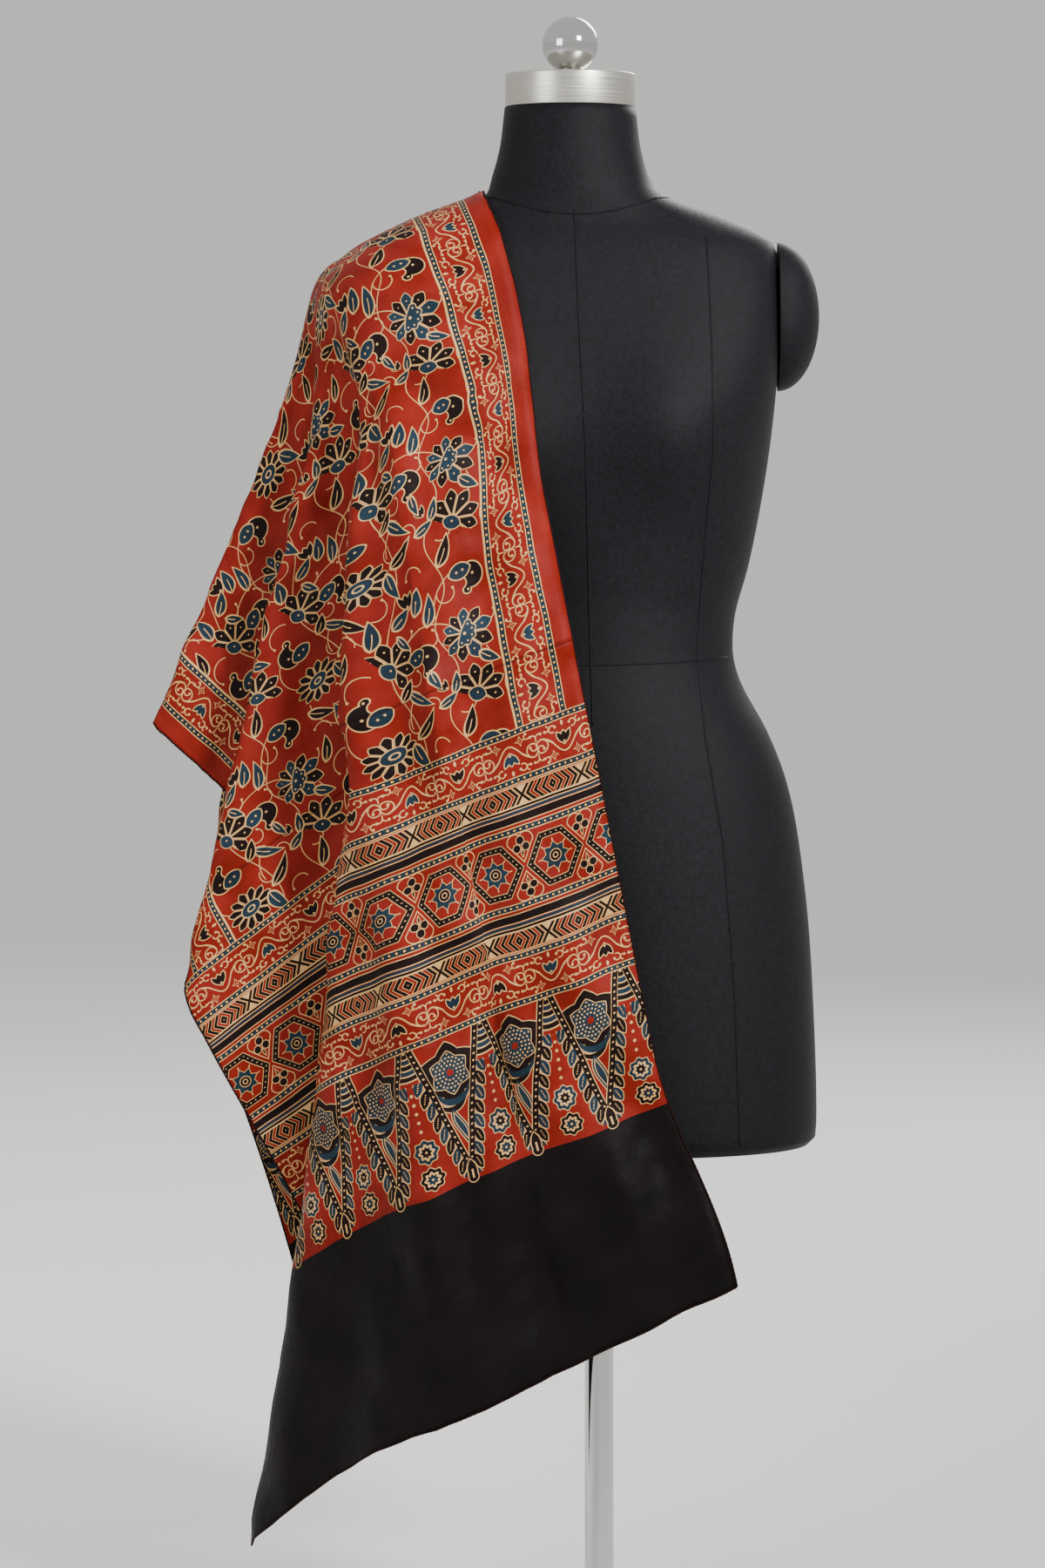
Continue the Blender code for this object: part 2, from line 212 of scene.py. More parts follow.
def fold_values(angle, distance):
    """Lean, depth and stretch of the cloth at an angle and a distance from the shoulder's end."""
    share = np.clip((distance - FOLD_NEAR) / (FOLD_FAR - FOLD_NEAR), 0.0, 1.0)
    rows = np.array([row[1:] for row in FOLDS])
    near, far = rows[:, (0, 2, 4)].T[..., None], rows[:, (1, 3, 5)].T[..., None]
    flat, lean, depth = near + (far - near) * share
    flat, lean, stretch = np.radians(flat), np.radians(lean), rows[:, 6]
    place = np.arange(len(angle))
    offsets = np.linspace(-1.0, 1.0, 13)
    weights = 1.0 - np.abs(offsets) * 0.9
    totals = np.zeros((3, len(angle)))
    # The mean over a few angles side by side rounds the edges of the folds.
    for offset, weight in zip(offsets, weights / weights.sum()):
        at = np.clip(angle + offset * FOLD_ROUNDING, 0.0, pi)
        row = np.clip((flat <= at).sum(axis=0) - 1, 0, len(FOLDS) - 2)
        part = (at - flat[row, place]) / (flat[row + 1, place] - flat[row, place])
        middle = 2 * part - 1
        deep = 0.5 + 0.5 * middle * (0.35 + 0.65 * middle**2)  # flat in a face's middle, steeper at its edges
        totals[0] += weight * (lean[row, place] + part * (lean[row + 1, place] - lean[row, place]))
        totals[1] += weight * (depth[row, place] + deep * (depth[row + 1, place] - depth[row, place]))
        totals[2] += weight * (stretch[row] + part * (stretch[row + 1] - stretch[row]))
    return totals


def hang_from_shoulder(along, down):
    """Cloth that hangs. The panel under the shoulder keeps its width, the rest goes round its end."""
    distance = np.where(along > 0, np.abs(down), np.hypot(along, down))
    angle = np.where(along > 0, 0.0, np.arctan2(-along, np.abs(down)))
    angle = np.where(down < 0, pi - angle, angle)
    lean, depth, stretch = fold_values(angle, distance)
    corner = smoothstep((down - CORNER_START) / (STOLE_FRONT - CORNER_START))
    corner = corner * np.clip((along + 0.10) / (SHOULDER_PART + 0.10), 0.0, 1.0)
    across = np.maximum(along, 0.0) + corner * CORNER_SWING
    slope = np.where(down < 0, BACK_WEFT_SLOPE, WEFT_SLOPE)
    length = distance * stretch
    x = across * np.cos(slope) + length * np.sin(lean)
    z = across * np.sin(slope) - length * np.cos(lean) + corner * CORNER_LIFT
    y = depth * np.sin(pi / 2 * np.minimum(distance / FOLD_DEPTH_START, 1.0))
    return x, y, z


def stole_point(along, down):
    """Where the flat cloth's points go, from lying on the shoulder to hanging free."""
    distance = np.where(along > 0, np.abs(down), np.hypot(along, down))
    share = smoothstep((distance - CAP_START) / (CAP_END - CAP_START))
    lying = lay_on_shoulder(along, down)
    hanging = hang_from_shoulder(along, down)
    x, y, z = (at + a * (1 - share) + b * share for at, a, b in zip(SHOULDER_END, lying, hanging))
    nearness = (y - EYE[1]) / -EYE[1]  # the folds' leans are as the camera sees them, whatever their depth
    return np.column_stack([EYE[0] + (x - EYE[0]) * nearness, y, EYE[2] + (z - EYE[2]) * nearness])


def fold_line(row, steps):
    """Points of the flat cloth along a line of the fold table, from the shoulder's end to the edge."""
    table = np.array([entry[1:3] for entry in FOLDS])
    lower = min(int(row), len(FOLDS) - 2)
    near, far = np.radians(table[lower] + (table[lower + 1] - table[lower]) * (row - lower))
    distances = np.linspace(0.0, 1.3, 1301)
    share = np.clip((distances - FOLD_NEAR) / (FOLD_FAR - FOLD_NEAR), 0.0, 1.0)
    angle = near + (far - near) * share
    along, down = -distances * np.sin(angle), distances * np.cos(angle)
    inside = (-along <= STOLE_WIDTH - SHOULDER_PART) & (down <= STOLE_FRONT) & (down >= -STOLE_BACK)
    reach = distances[inside].max()
    at = reach * np.linspace(0.0, 1.0, steps + 1) ** 1.12
    return np.interp(at, distances, along), np.interp(at, distances, down)


# %% [markdown]
# ## The dress form
# The form is a padded shell under tight black jersey. Level sections, each with its width, depth and
# squareness, are joined into one skin. The CAD solid has the same sections with fewer sides, so a smooth
# curve through the table is enough to refine it.

# %% The form's sections
FORM = (
    # height, centre, half width, front, back, squareness
    (0.437, 0.025, 0.180, 0.106, 0.102, 2.3),
    (0.443, 0.025, 0.186, 0.111, 0.107, 2.3),
    (0.463, 0.025, 0.187, 0.112, 0.109, 2.3),
    (0.560, 0.023, 0.186, 0.113, 0.114, 2.3),
    (0.655, 0.021, 0.181, 0.113, 0.118, 2.25),
    (0.744, 0.019, 0.168, 0.110, 0.110, 2.2),
    (0.789, 0.017, 0.153, 0.106, 0.099, 2.15),
    (0.834, 0.015, 0.131, 0.100, 0.086, 2.1),
    (0.860, 0.014, 0.126, 0.097, 0.081, 2.1),
    (0.890, 0.013, 0.129, 0.097, 0.080, 2.1),
    (0.930, 0.010, 0.143, 0.101, 0.084, 2.2),
    (0.990, 0.007, 0.158, 0.109, 0.093, 2.3),
    (1.045, 0.004, 0.169, 0.113, 0.101, 2.7),
    (1.100, 0.000, 0.1775, 0.106, 0.105, 3.5),
    (1.150, 0.000, 0.178, 0.094, 0.102, 3.8),
    (1.190, 0.000, 0.1775, 0.081, 0.095, 3.2),
    (1.2100, 0.005, 0.169, 0.073, 0.088, 2.6),
    (1.2200, 0.008, 0.152, 0.067, 0.080, 2.3),
    (1.2300, 0.008, 0.129, 0.062, 0.073, 2.1),
    (1.2400, 0.008, 0.100, 0.061, 0.068, 2.0),
    (1.2480, 0.006, 0.080, 0.061, 0.066, 2.0),
    (1.2560, 0.002, 0.072, 0.060, 0.064, 2.0),
    (1.2680, 0.000, 0.067, 0.060, 0.062, 2.0),
    (1.2900, 0.000, 0.061, 0.059, 0.060, 2.0),
    (1.3260, 0.000, 0.0565, 0.0565, 0.0565, 2.0),
)
BUST_HEIGHT, BUST_SPACING, BUST_RISE, BUST_WIDTH, BUST_TALL = 1.045, 0.086, 0.020, 0.052, 0.060


def form_table(step):
    """The sections at closer heights, on a curve through the table that never swings past its neighbours."""
    rows = np.array(FORM)
    heights = rows[:, 0]
    gaps = np.diff(heights)
    slopes = np.diff(rows, axis=0) / gaps[:, None]
    tangents = np.vstack([slopes[:1], (slopes[:-1] + slopes[1:]) / 2, slopes[-1:]])
    before, after = np.vstack([slopes[:1], slopes]), np.vstack([slopes, slopes[-1:]])
    limits = 2.5 * np.minimum(np.abs(before), np.abs(after))
    agree = np.sign(before) == np.sign(after)
    tangents = np.where(agree, np.clip(tangents, -limits, limits), 0.0)
    finer = []
    for i, gap in enumerate(gaps):
        count = max(1, round(gap / step))
        for t in np.arange(count) / count:
            finer.append(
                (2 * t**3 - 3 * t**2 + 1) * rows[i]
                + (t**3 - 2 * t**2 + t) * gap * tangents[i]
                + (3 * t**2 - 2 * t**3) * rows[i + 1]
                + (t**3 - t**2) * gap * tangents[i + 1]
            )
            finer[-1][0] = heights[i] + t * gap
    return np.vstack([finer, rows[-1]])


def form_ring(row, sides):
    """One level section of the form as a ring of points, with the bust standing out of it in front."""
    height, centre, half_width, front, back, squareness = row
    turn = 2 * pi * np.arange(sides) / sides
    power = 2.0 / squareness
    x = half_width * np.abs(np.cos(turn)) ** power * np.sign(np.cos(turn))
    bust = sum(np.exp(-(((x - side * BUST_SPACING) / BUST_WIDTH) ** 2)) for side in (-1, 1))
    front = front + BUST_RISE * bust * np.exp(-(((height - BUST_HEIGHT) / BUST_TALL) ** 2))
    y = np.abs(np.sin(turn)) ** power * np.where(np.sin(turn) < 0, -front, back)
    return np.column_stack([centre + x, y, np.full(sides, height)])


# %% Join the sections into a skin
def finished(bm, name, material=None):
    """Makes a smooth-shaded object of a bmesh, in place, and lets it ride on the one body."""
    mesh = bpy.data.meshes.new(name)
    bm.to_mesh(mesh)
    bm.free()
    piece = bpy.data.objects.new(name, mesh)
    bpy.context.scene.collection.objects.link(piece)
    mesh.shade_smooth()
    if material:
        mesh.materials.append(material)
    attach(piece, "root")
    return piece


def joined_rings(rings):
    """A bmesh of rings of points, each joined to the next, with both ends closed."""
    bm = bmesh.new()
    placed = [[bm.verts.new(point) for point in ring] for ring in rings]
    loops = [[bm.edges.new((a, b)) for a, b in zip(ring, ring[1:] + ring[:1])] for ring in placed]
    for lower, upper in zip(loops, loops[1:]):
        bmesh.ops.bridge_loops(bm, edges=lower + upper)
    for loop in (loops[0], loops[-1]):
        bmesh.ops.contextual_create(bm, geom=loop)
    bmesh.ops.recalc_face_normals(bm, faces=bm.faces)
    return bm


form = finished(joined_rings([form_ring(row, 112) for row in form_table(0.010)]), "form_skin")
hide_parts("dress_form")
form_tree = BVHTree.FromPolygons([v.co for v in form.data.vertices], [p.vertices for p in form.data.polygons])
print("the form's skin has", len(form.data.polygons), "faces")


# %% [markdown]
# ## The cloth as a mesh
# A plain grid would cut across the folds and make their edges ragged. So the mesh is laid along the fold
# lines, as a fan from the shoulder's end, with straight rows only on the shoulder itself. Each point keeps
# its place in the flat cloth as its UV, in metres, and the print is drawn there. Small hollows and ridges
# are then added: the soft fold over the chest, the creases left by folding the stole for storage,
# and the slight puckering of cotton.

# %% Lay the sheet along its fold lines
LINES_PER_FOLD, LINE_STEPS, SHOULDER_COLUMNS = 17, 160, 14
rows = np.linspace(0, len(FOLDS) - 1, (len(FOLDS) - 1) * LINES_PER_FOLD + 1)
for drop in (STOLE_FRONT, -STOLE_BACK):
    away = np.hypot(STOLE_WIDTH - SHOULDER_PART, drop)
    share = np.clip((away - FOLD_NEAR) / (FOLD_FAR - FOLD_NEAR), 0.0, 1.0)
    angles = [row[1] + (row[2] - row[1]) * share for row in FOLDS]
    corner = np.interp(degrees(np.arctan2(STOLE_WIDTH - SHOULDER_PART, drop)), angles, range(len(FOLDS)))
    rows[np.abs(rows - corner).argmin()] = corner
lines = [fold_line(row, LINE_STEPS) for row in rows]
front_line, back_line = lines[0][1], lines[-1][1]
for column in range(1, SHOULDER_COLUMNS + 1):
    along = np.full(LINE_STEPS + 1, SHOULDER_PART * column / SHOULDER_COLUMNS)
    lines.insert(0, (along, front_line))
    lines.append((along, back_line))
flat = np.array([np.column_stack(line) for line in lines])
print("the sheet has", flat.shape[0], "lines of", flat.shape[1], "points")


# %% Small hollows and ridges
def soft_noise(across, down, size, seed):
    """Smooth unevenness of about one, with features of a size in metres, from a few sine waves."""
    draw = np.random.default_rng(seed)
    total = np.zeros_like(across)
    for _ in range(9):
        turn, phase, scale = draw.uniform(0, 2 * pi), draw.uniform(0, 2 * pi), draw.uniform(0.7, 1.6)
        total += np.sin((across * cos(turn) + down * sin(turn)) * 2 * pi * scale / size + phase)
    return total / 3.0


def ridge(across, down, start, end, width, height):
    """A ridge between two points of the flat cloth, fading at its ends. Below zero it is a hollow."""
    start, end = np.array(start), np.array(end)
    length = np.linalg.norm(end - start)
    unit = (end - start) / length
    t = ((across - start[0]) * unit[0] + (down - start[1]) * unit[1]) / length
    off = (across - start[0]) * unit[1] - (down - start[1]) * unit[0]
    fade = smoothstep(t / 0.25 + 0.5) * smoothstep((1 - t) / 0.25 + 0.5)
    return height * np.exp(-((off / width) ** 2)) * fade


# One row for each crease: its two ends as across and down in the flat cloth, its width and its height.
CREASES = (
    # name, across, down, across, down, width, height
    ("chest_fold", 0.118, 0.16, 0.136, 0.50, 0.018, 0.0060),
    ("chest_hollow", 0.152, 0.16, 0.176, 0.50, 0.018, -0.0060),
    ("neck_hollow", 0.030, 0.05, 0.062, 0.30, 0.015, -0.0030),
    ("panel_wave", 0.060, 0.42, 0.075, 0.98, 0.030, 0.0085),
    ("panel_hollow", 0.128, 0.45, 0.155, 0.98, 0.028, -0.0085),
    ("left_wave", 0.200, 0.55, 0.250, 0.98, 0.030, 0.0085),
    ("storage_crease_front", -0.01, 0.388, 0.250, 0.377, 0.0120, 0.0042),
    ("storage_crease_low", 0.00, 0.700, 0.540, 0.694, 0.0045, 0.0012),
    ("storage_crease_back", 0.00, -0.392, 0.540, -0.398, 0.0045, 0.0016),
    ("storage_crease_length", 0.276, -0.90, 0.274, 0.95, 0.0045, 0.0014),
    ("pull_one", 0.012, 0.33, 0.090, 0.270, 0.008, 0.0024),
    ("pull_two", 0.120, 0.30, 0.200, 0.355, 0.010, 0.0026),
    ("middle_pull", 0.33, 0.56, 0.45, 0.60, 0.012, 0.0032),
    ("end_pull_one", 0.09, 0.92, 0.15, 1.03, 0.009, 0.0024),
    ("end_pull_two", 0.21, 0.93, 0.24, 1.04, 0.008, 0.0020),
    ("end_pull_three", 0.33, 0.94, 0.31, 1.03, 0.011, 0.0024),
    ("hem_lift", 0.10, 0.965, 0.30, 0.975, 0.020, 0.0030),
)
across, down = SHOULDER_PART - flat[..., 0].ravel(), flat[..., 1].ravel()
points = stole_point(flat[..., 0].ravel(), down)
lift = sum(ridge(across, down, row[1:3], row[3:5], row[5], row[6]) for row in CREASES)
UNEVENNESS = (
    # height, stretch across, stretch down, size, draw
    (0.0034, 1.5, 0.8, 0.12, 3),
    (0.0009, 1.0, 1.0, 0.045, 4),
)
PUCKER_HEIGHT, PUCKER_SIZE = 0.00025, 0.022
free = smoothstep(np.hypot(across - SHOULDER_PART, down) / 0.25)  # none where the shoulder carries the cloth
free *= 1 - 0.65 * smoothstep((across - 0.24) / 0.12)  # and little in the outer folds
for height, wide, long, size, draw in UNEVENNESS:
    lift += free * height * soft_noise(across * wide, down * long, size, draw)
lift += PUCKER_HEIGHT * soft_noise(across, down, PUCKER_SIZE, 5)
print("creases raise the cloth by up to", round(float(np.abs(lift).max()) * 1000, 1), "mm")


# %% Place the points, clear of the form
def grid_normals(grid):
    """The direction square to a grid of points at each point."""
    normals = np.cross(np.gradient(grid, axis=0), np.gradient(grid, axis=1))
    length = np.linalg.norm(normals, axis=2, keepdims=True)
    return normals / np.maximum(length, 1e-12)


grid = points.reshape(flat.shape[0], flat.shape[1], 3)
normals = grid_normals(grid)
normals[:, 0] = (0, 0, 1)
outside = grid[SHOULDER_COLUMNS, LINE_STEPS // 2, 1] < 0
if (normals[SHOULDER_COLUMNS, LINE_STEPS // 2, 1] < 0) != outside:
    normals = -normals
grid = grid + normals * lift.reshape(grid.shape[:2])[..., None]
moved = 0
for i in range(grid.shape[0]):
    for j in range(grid.shape[1]):
        nearest, away, _, _ = form_tree.find_nearest(Vector(grid[i, j]), 0.06)
        if nearest is not None and (Vector(grid[i, j]) - nearest).dot(away) < CLEARANCE:
            grid[i, j] = nearest + away * CLEARANCE
            moved += 1
print(moved, "of", flat.shape[0] * flat.shape[1], "points are moved clear of the form")


# %% [markdown]
# Cotton gives a little along its bias, so it lies smooth on a rounded shoulder. The same comes from moving
# every point near the shoulder's end towards the mean of its neighbours, many times, while a dome in the
# place of the shoulder holds the cloth up. The print moves with the points. A cloth simulation would do
# this too, but it would also move the folds.

# %% Make the sheet
DOME_CENTRE, DOME_SIZE = np.array([-0.1218, 0.0, 1.1105]), np.array([0.1142, 0.112, 0.1142])
DOME_FOOT = 1.175  # the height under which the shoulder's dome draws in
EASED_NEAR, EASING_ROUNDS = 0.15, 320
SHEET_THICKNESS = 0.0009


def printed_place(along, down):
    """A point of the sheet in the printed cloth's metres. The shoulder and the chest take up length."""
    across = SHOULDER_PART - along
    taken = smoothstep((np.abs(down) - 0.02) / (0.22 + 1.2 * np.maximum(-along, 0.0)))
    length = np.where(down > 0, down + (taken - 1) * TAKEN_FRONT, down - taken * TAKEN_BACK - TAKEN_FRONT)
    narrowing = 0.010 * np.exp(-(((down - 0.20) / 0.07) ** 2)) * smoothstep((across - 0.010) / 0.04)
    return across + narrowing * (1 - smoothstep((across - 0.10) / 0.30)), length


def eased(values, edges, amount, rounds):
    """Each row of values moved towards the mean of its neighbours, and kept outside the shoulder's dome."""
    ends = np.concatenate([edges[:, 0], edges[:, 1]])
    others = np.concatenate([edges[:, 1], edges[:, 0]])
    counts = np.maximum(np.bincount(ends, minlength=len(values)), 1)
    for _ in range(rounds):
        means = [np.bincount(ends, column[others], minlength=len(values)) / counts for column in values.T]
        values = values + (np.column_stack(means) - values) * amount[:, None]
        out = (values[:, :3] - DOME_CENTRE) / DOME_SIZE
        out *= 1 + 0.25 * smoothstep((DOME_FOOT - values[:, 2:3]) / 0.07)
        short = np.maximum(np.linalg.norm(out, axis=1), 0.5)
        push = ((short < 1) & (amount > 0))[:, None]
        reached = DOME_CENTRE + (values[:, :3] - DOME_CENTRE) / short[:, None]
        values[:, :3] = np.where(push, reached, values[:, :3])
    return values


def sheet_mesh(grid, flat):
    """The grid as a bmesh, with the printed cloth's metres as its UV and one point where the fan starts."""
    bm = bmesh.new()
    layer = bm.loops.layers.uv.new("flat")
    cloth = np.stack(printed_place(flat[..., 0], flat[..., 1]), axis=-1)
    placed = [[bm.verts.new(point) for point in line] for line in grid]
    for i in range(len(placed) - 1):
        for j in range(len(placed[0]) - 1):
            at = ((i, j), (i, j + 1), (i + 1, j + 1), (i + 1, j))
            face = bm.faces.new([placed[a][b] for a, b in at])
            for loop, (a, b) in zip(face.loops, at):
                loop[layer].uv = cloth[a, b]
    bmesh.ops.remove_doubles(bm, verts=bm.verts, dist=1e-6)
    bmesh.ops.recalc_face_normals(bm, faces=bm.faces)
    bm.verts.index_update()
    values = np.array([(*v.co, *v.link_loops[0][layer].uv) for v in bm.verts])
    away = np.linalg.norm(values[:, :3] - SHOULDER_END, axis=1)
    amount = 0.5 * smoothstep((EASED_NEAR - away) / 0.06) * np.array([not v.is_boundary for v in bm.verts])
    edges = np.array([[v.index for v in edge.verts] for edge in bm.edges])
    values = eased(values, edges, amount, EASING_ROUNDS)
    for v, row in zip(bm.verts, values):
        v.co = row[:3]
        for loop in v.link_loops:
            loop[layer].uv = row[3:]
        nearest, away, _, _ = form_tree.find_nearest(v.co, 0.02)
        if nearest is not None and (v.co - nearest).dot(away) < CLEARANCE:
            v.co = nearest + away * CLEARANCE
    return bm


stole = finished(sheet_mesh(grid, flat), "ajrakh_stole")
thick = stole.modifiers.new("thickness", "SOLIDIFY")
thick.thickness, thick.offset = SHEET_THICKNESS, 0.0
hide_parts("stole")
print("the stole has", len(stole.data.polygons), "faces on one side")

# %% [markdown]
# ## The print
# Ajrakh blocks are carved in lines, so each motif is drawn as its distance in millimetres from a shape:
# leaves from two arcs, flowers from one petal turned about a centre, stems from circles. A colour is a
# number: 0 is the madder ground, 1 the cream line that the resist kept, 2 iron black and 3 indigo. Where
# two motifs meet, the higher number wins, or the later one covers the other with its outline, which puts a
# flower over its stem. The motifs are drawn afresh in the traditional manner.

# %% Inks and simple shapes
GROUND, CREAM, BLACK, INDIGO, END_BLACK = 0, 1, 2, 3, 4
LINE = 0.85  # the width of a cream line, in millimetres


def start_part(name):
    """Starts a node group for one part of the print, which takes a place on the flat cloth in millimetres."""
    group = bpy.data.node_groups.new(name, "ShaderNodeTree")
    group.interface.new_socket("place", in_out="INPUT", socket_type="NodeSocketVector")
    group.interface.new_socket("ink", in_out="OUTPUT", socket_type="NodeSocketFloat")
    vector = group.nodes.new("NodeGroupInput").outputs[0]
    parts = node(group, "SeparateXYZ", {0: vector})
    return group, vector, Number(group, parts.outputs[0]), Number(group, parts.outputs[1])


def end_part(ink):
    """Ends a part with its ink, and returns its group."""
    print(ink.tree.name, "is drawn with", len(ink.tree.nodes), "nodes")
    ink.tree.links.new(ink.socket, ink.tree.nodes.new("NodeGroupOutput").inputs[0])
    return ink.tree


def hypot(x, y):
    """Distance from the point 0, 0."""
    return (x * x + y * y).math("SQRT")


def leaf(x, y, half_length, half_width):
    """Distance from a leaf that lies along x, from two arcs."""
    radius = (half_length**2 + half_width**2) / (2 * half_width)
    return hypot(x, abs(y) + (radius - half_width)) - radius


def disc(x, y, radius):
    """Distance from a disc about 0, 0."""
    return hypot(x, y) - radius


def inked(distance, ink, line=LINE):
    """A shape with a cream outline and an ink inside it."""
    return (distance < 0.0) + (distance < -line) * (ink - 1)


def cream_on(ink, distance):
    """Cream wherever the distance is below zero, over an ink."""
    return ink & ((distance > 0.0) * 9.0 + 1.0)


def line_of(distance, width=LINE):
    """A cream line along a shape's edge."""
    return abs(distance) < width / 2


def over(*inks):
    """Several motifs in one, where the highest ink wins."""
    return reduce(lambda below, above: below | above, inks)


def choose(where, yes, no):
    """One number where a condition holds, and another elsewhere."""
    made = node(tree, "Mix", {0: where, 2: no, 3: yes}, data_type="FLOAT")
    return Number(tree, made.outputs[0])


def lay(above, below):
    """A drawn motif on top of another, which it covers with its outline."""
    return choose(above > 0.5, above, below)


def inside(x, low, high):
    """One where x is between two limits."""
    return (abs(x - (low + high) / 2)) < (high - low) / 2


# %% Flowers, buds and leaves
def petals(x, y, count, start, end, half_width, ink, other_ink, dots=True, lean=0.0):
    """Petals about a centre, in two inks by turns, from one radius to another. Lean shortens one side."""
    radius, angle = hypot(x, y), y.math("ARCTAN2", x)
    turn = angle * (count / (2 * pi))
    nearest = turn.math("ROUND")
    if lean:
        radius = radius * (1.0 + lean - (nearest * (2 * pi / count)).math("COSINE") * lean)
    aside = (turn - nearest) * radius * (2 * pi / count)
    shape = leaf(radius - (start + end) / 2, aside, (end - start) / 2, half_width)
    shape = shape | (abs(aside) - radius * (pi / count) + 0.12)
    ink = nearest.math("FLOORED_MODULO", 2.0) * (other_ink - ink) + ink
    drawn = inked(shape, ink)
    if dots:
        drawn = cream_on(drawn, disc(radius - (start * 0.38 + end * 0.62), aside, 0.8))
    return drawn


def lotus(x, y):
    """A lotus seen from the side: long petals around one side of an indigo heart with a scalloped edge."""
    drawn = petals(x, y, 10, 2.0, 28.5, 7.6, BLACK, INDIGO, lean=0.28)
    radius, angle = hypot(x, y), y.math("ARCTAN2", x)
    heart = (radius - ((angle * 9.0).math("COSINE") * 0.9 + 11.2)) | (-x - 3.0 + abs(y) * 0.12)
    seeds = disc(radius - 8.0, (angle * (9 / (2 * pi))).math("PINGPONG", 0.5) * 5.6, 0.8)
    return lay(cream_on(cream_on(inked(heart, INDIGO), disc(x - 1.2, y, 1.3)), seeds), drawn)


def daisy(x, y):
    """A daisy with a ringed eye."""
    drawn = petals(x * 0.92, y * 1.16, 12, 5.0, 21.5, 4.8, BLACK, BLACK, dots=False)
    radius = hypot(x * 0.76, y * 1.15)
    eye = cream_on(inked(radius - 8.0, INDIGO), abs(radius - 2.7) - 0.6)
    return lay(eye, drawn)


def fan_flower(x, y):
    """A flower from the side: petals on its upper half, and a cup under them."""
    drawn = petals(x, y, 9, 3.0, 24.0, 6.6, BLACK, BLACK) * (y > -5.0)
    cup = leaf(x, y + 3.0, 9.0, 6.2)
    return lay(cream_on(inked(cup, INDIGO), disc(x, y + 2.0, 0.9)), drawn)


def hooked_bud(x, y):
    """A bud that curls over to a point, under an indigo cap."""
    x, y = x * 0.78, y * 0.78
    body = disc(x, y, 9.0) & disc(x + 5.2, y + 8.2, 3.3)
    body = body | -(disc(x + 8.0, y + 2.4, 3.4))
    drawn = cream_on(inked(body, BLACK), disc(x - 1.5, y - 0.5, 0.9) & disc(x + 4.6, y + 8.4, 0.8))
    cap = leaf(x + 6.5, y - 5.5, 8.4, 5.8)
    return lay(cream_on(inked(cap, INDIGO), disc(abs(x + 6.5) - 2.2, y - 5.5, 0.8)), drawn)


def tulip(x, y, ink, size=1.0):
    """Three lobes out of one foot, with a bead in the foot."""
    x, y = x * (1 / size), y * (1 / size)
    side = abs(x)
    outer = leaf(side * 0.516 + y * 0.857 - 2.4, side * 0.857 - y * 0.516 - 2.2, 6.9, 2.9)
    return cream_on(inked(outer & leaf(y - 0.6, x, 6.3, 3.5), ink), disc(x, y + 2.7, 1.0))


def veined_leaf(x, y, half_length, half_width, ink):
    """A leaf with a short cream vein from its foot, wide at its foot and drawn out to a bent tip."""
    off = y - x * (x * 0.011 + 0.10)
    shape = leaf(x * 0.70, off * (x * 0.024 + 0.72), half_length, half_width)
    vein = abs(off) - 0.4 + (x > half_length * 0.2) * 9.0
    return cream_on(inked(shape, ink), vein)


def stem_arc(x, y, radius, middle, half_angle, bead=False, line=LINE):
    """Part of a circle, half_angle degrees to each side of a direction, with a bead at one end."""
    distance = hypot(x, y)
    towards = x * cos(radians(middle)) + y * sin(radians(middle))
    arc = (abs(distance - radius) < line / 2) * (towards > distance * cos(radians(half_angle)))
    if not bead:
        return arc
    end = radians(middle + half_angle)
    return arc | (disc(x - radius * cos(end), y - radius * sin(end), 1.15) < 0.0)


# %% [markdown]
# ### The flowering field
# The field repeats every 142 mm across and 147 mm along. Each row below places one motif in that cell, and
# two winding stems run through it, as vines do on the real cloth.

# %% Motifs of the field
CELL, FIELD_START = (142.0, 147.0), 62.0
FIELD = (
    # motif, across, down, turn, and its own values
    (lotus, 31, 54, -28),
    (hooked_bud, 16, 8, 8),
    (fan_flower, 26, 105, -28),
    (tulip, 78, 12, 8, BLACK, 1.25),
    (hooked_bud, 66, 63, 24),
    (fan_flower, 104, 60, -60),
    (daisy, 116, 131, 12),
    (veined_leaf, 37, 128, 60, 10.0, 4.0, BLACK),
    (veined_leaf, 56, 25, 72, 10.5, 3.9, INDIGO),
    (veined_leaf, 67, 15, 66, 9.0, 4.2, INDIGO),
    (veined_leaf, 86, 24, 30, 8.5, 4.0, INDIGO),
    (veined_leaf, 88, 44, -58, 7.0, 3.1, INDIGO),
    (veined_leaf, 12, 80, -40, 7.5, 3.6, INDIGO),
    (veined_leaf, 44, 92, 68, 7.2, 3.2, INDIGO),
    (veined_leaf, 53, 105, 20, 7.2, 3.2, INDIGO),
    (tulip, 55, 92, 40, BLACK, 0.75),
    (veined_leaf, 80, 96, -42, 11.5, 3.4, INDIGO),
    (veined_leaf, 92, 84, 48, 7.5, 3.6, BLACK),
    (veined_leaf, 62, 84, -75, 7.5, 3.0, INDIGO),
    (veined_leaf, 77, 118, 34, 11.5, 3.6, BLACK),
    (veined_leaf, 92, 141, -70, 10.0, 4.4, INDIGO),
    (veined_leaf, 126, 15, -38, 10.0, 3.9, BLACK),
    (hooked_bud, 128, 92, 200),
    (veined_leaf, 112, 28, 80, 9.5, 4.3, INDIGO),
    (veined_leaf, 136, 48, 62, 9.0, 3.6, BLACK),
)
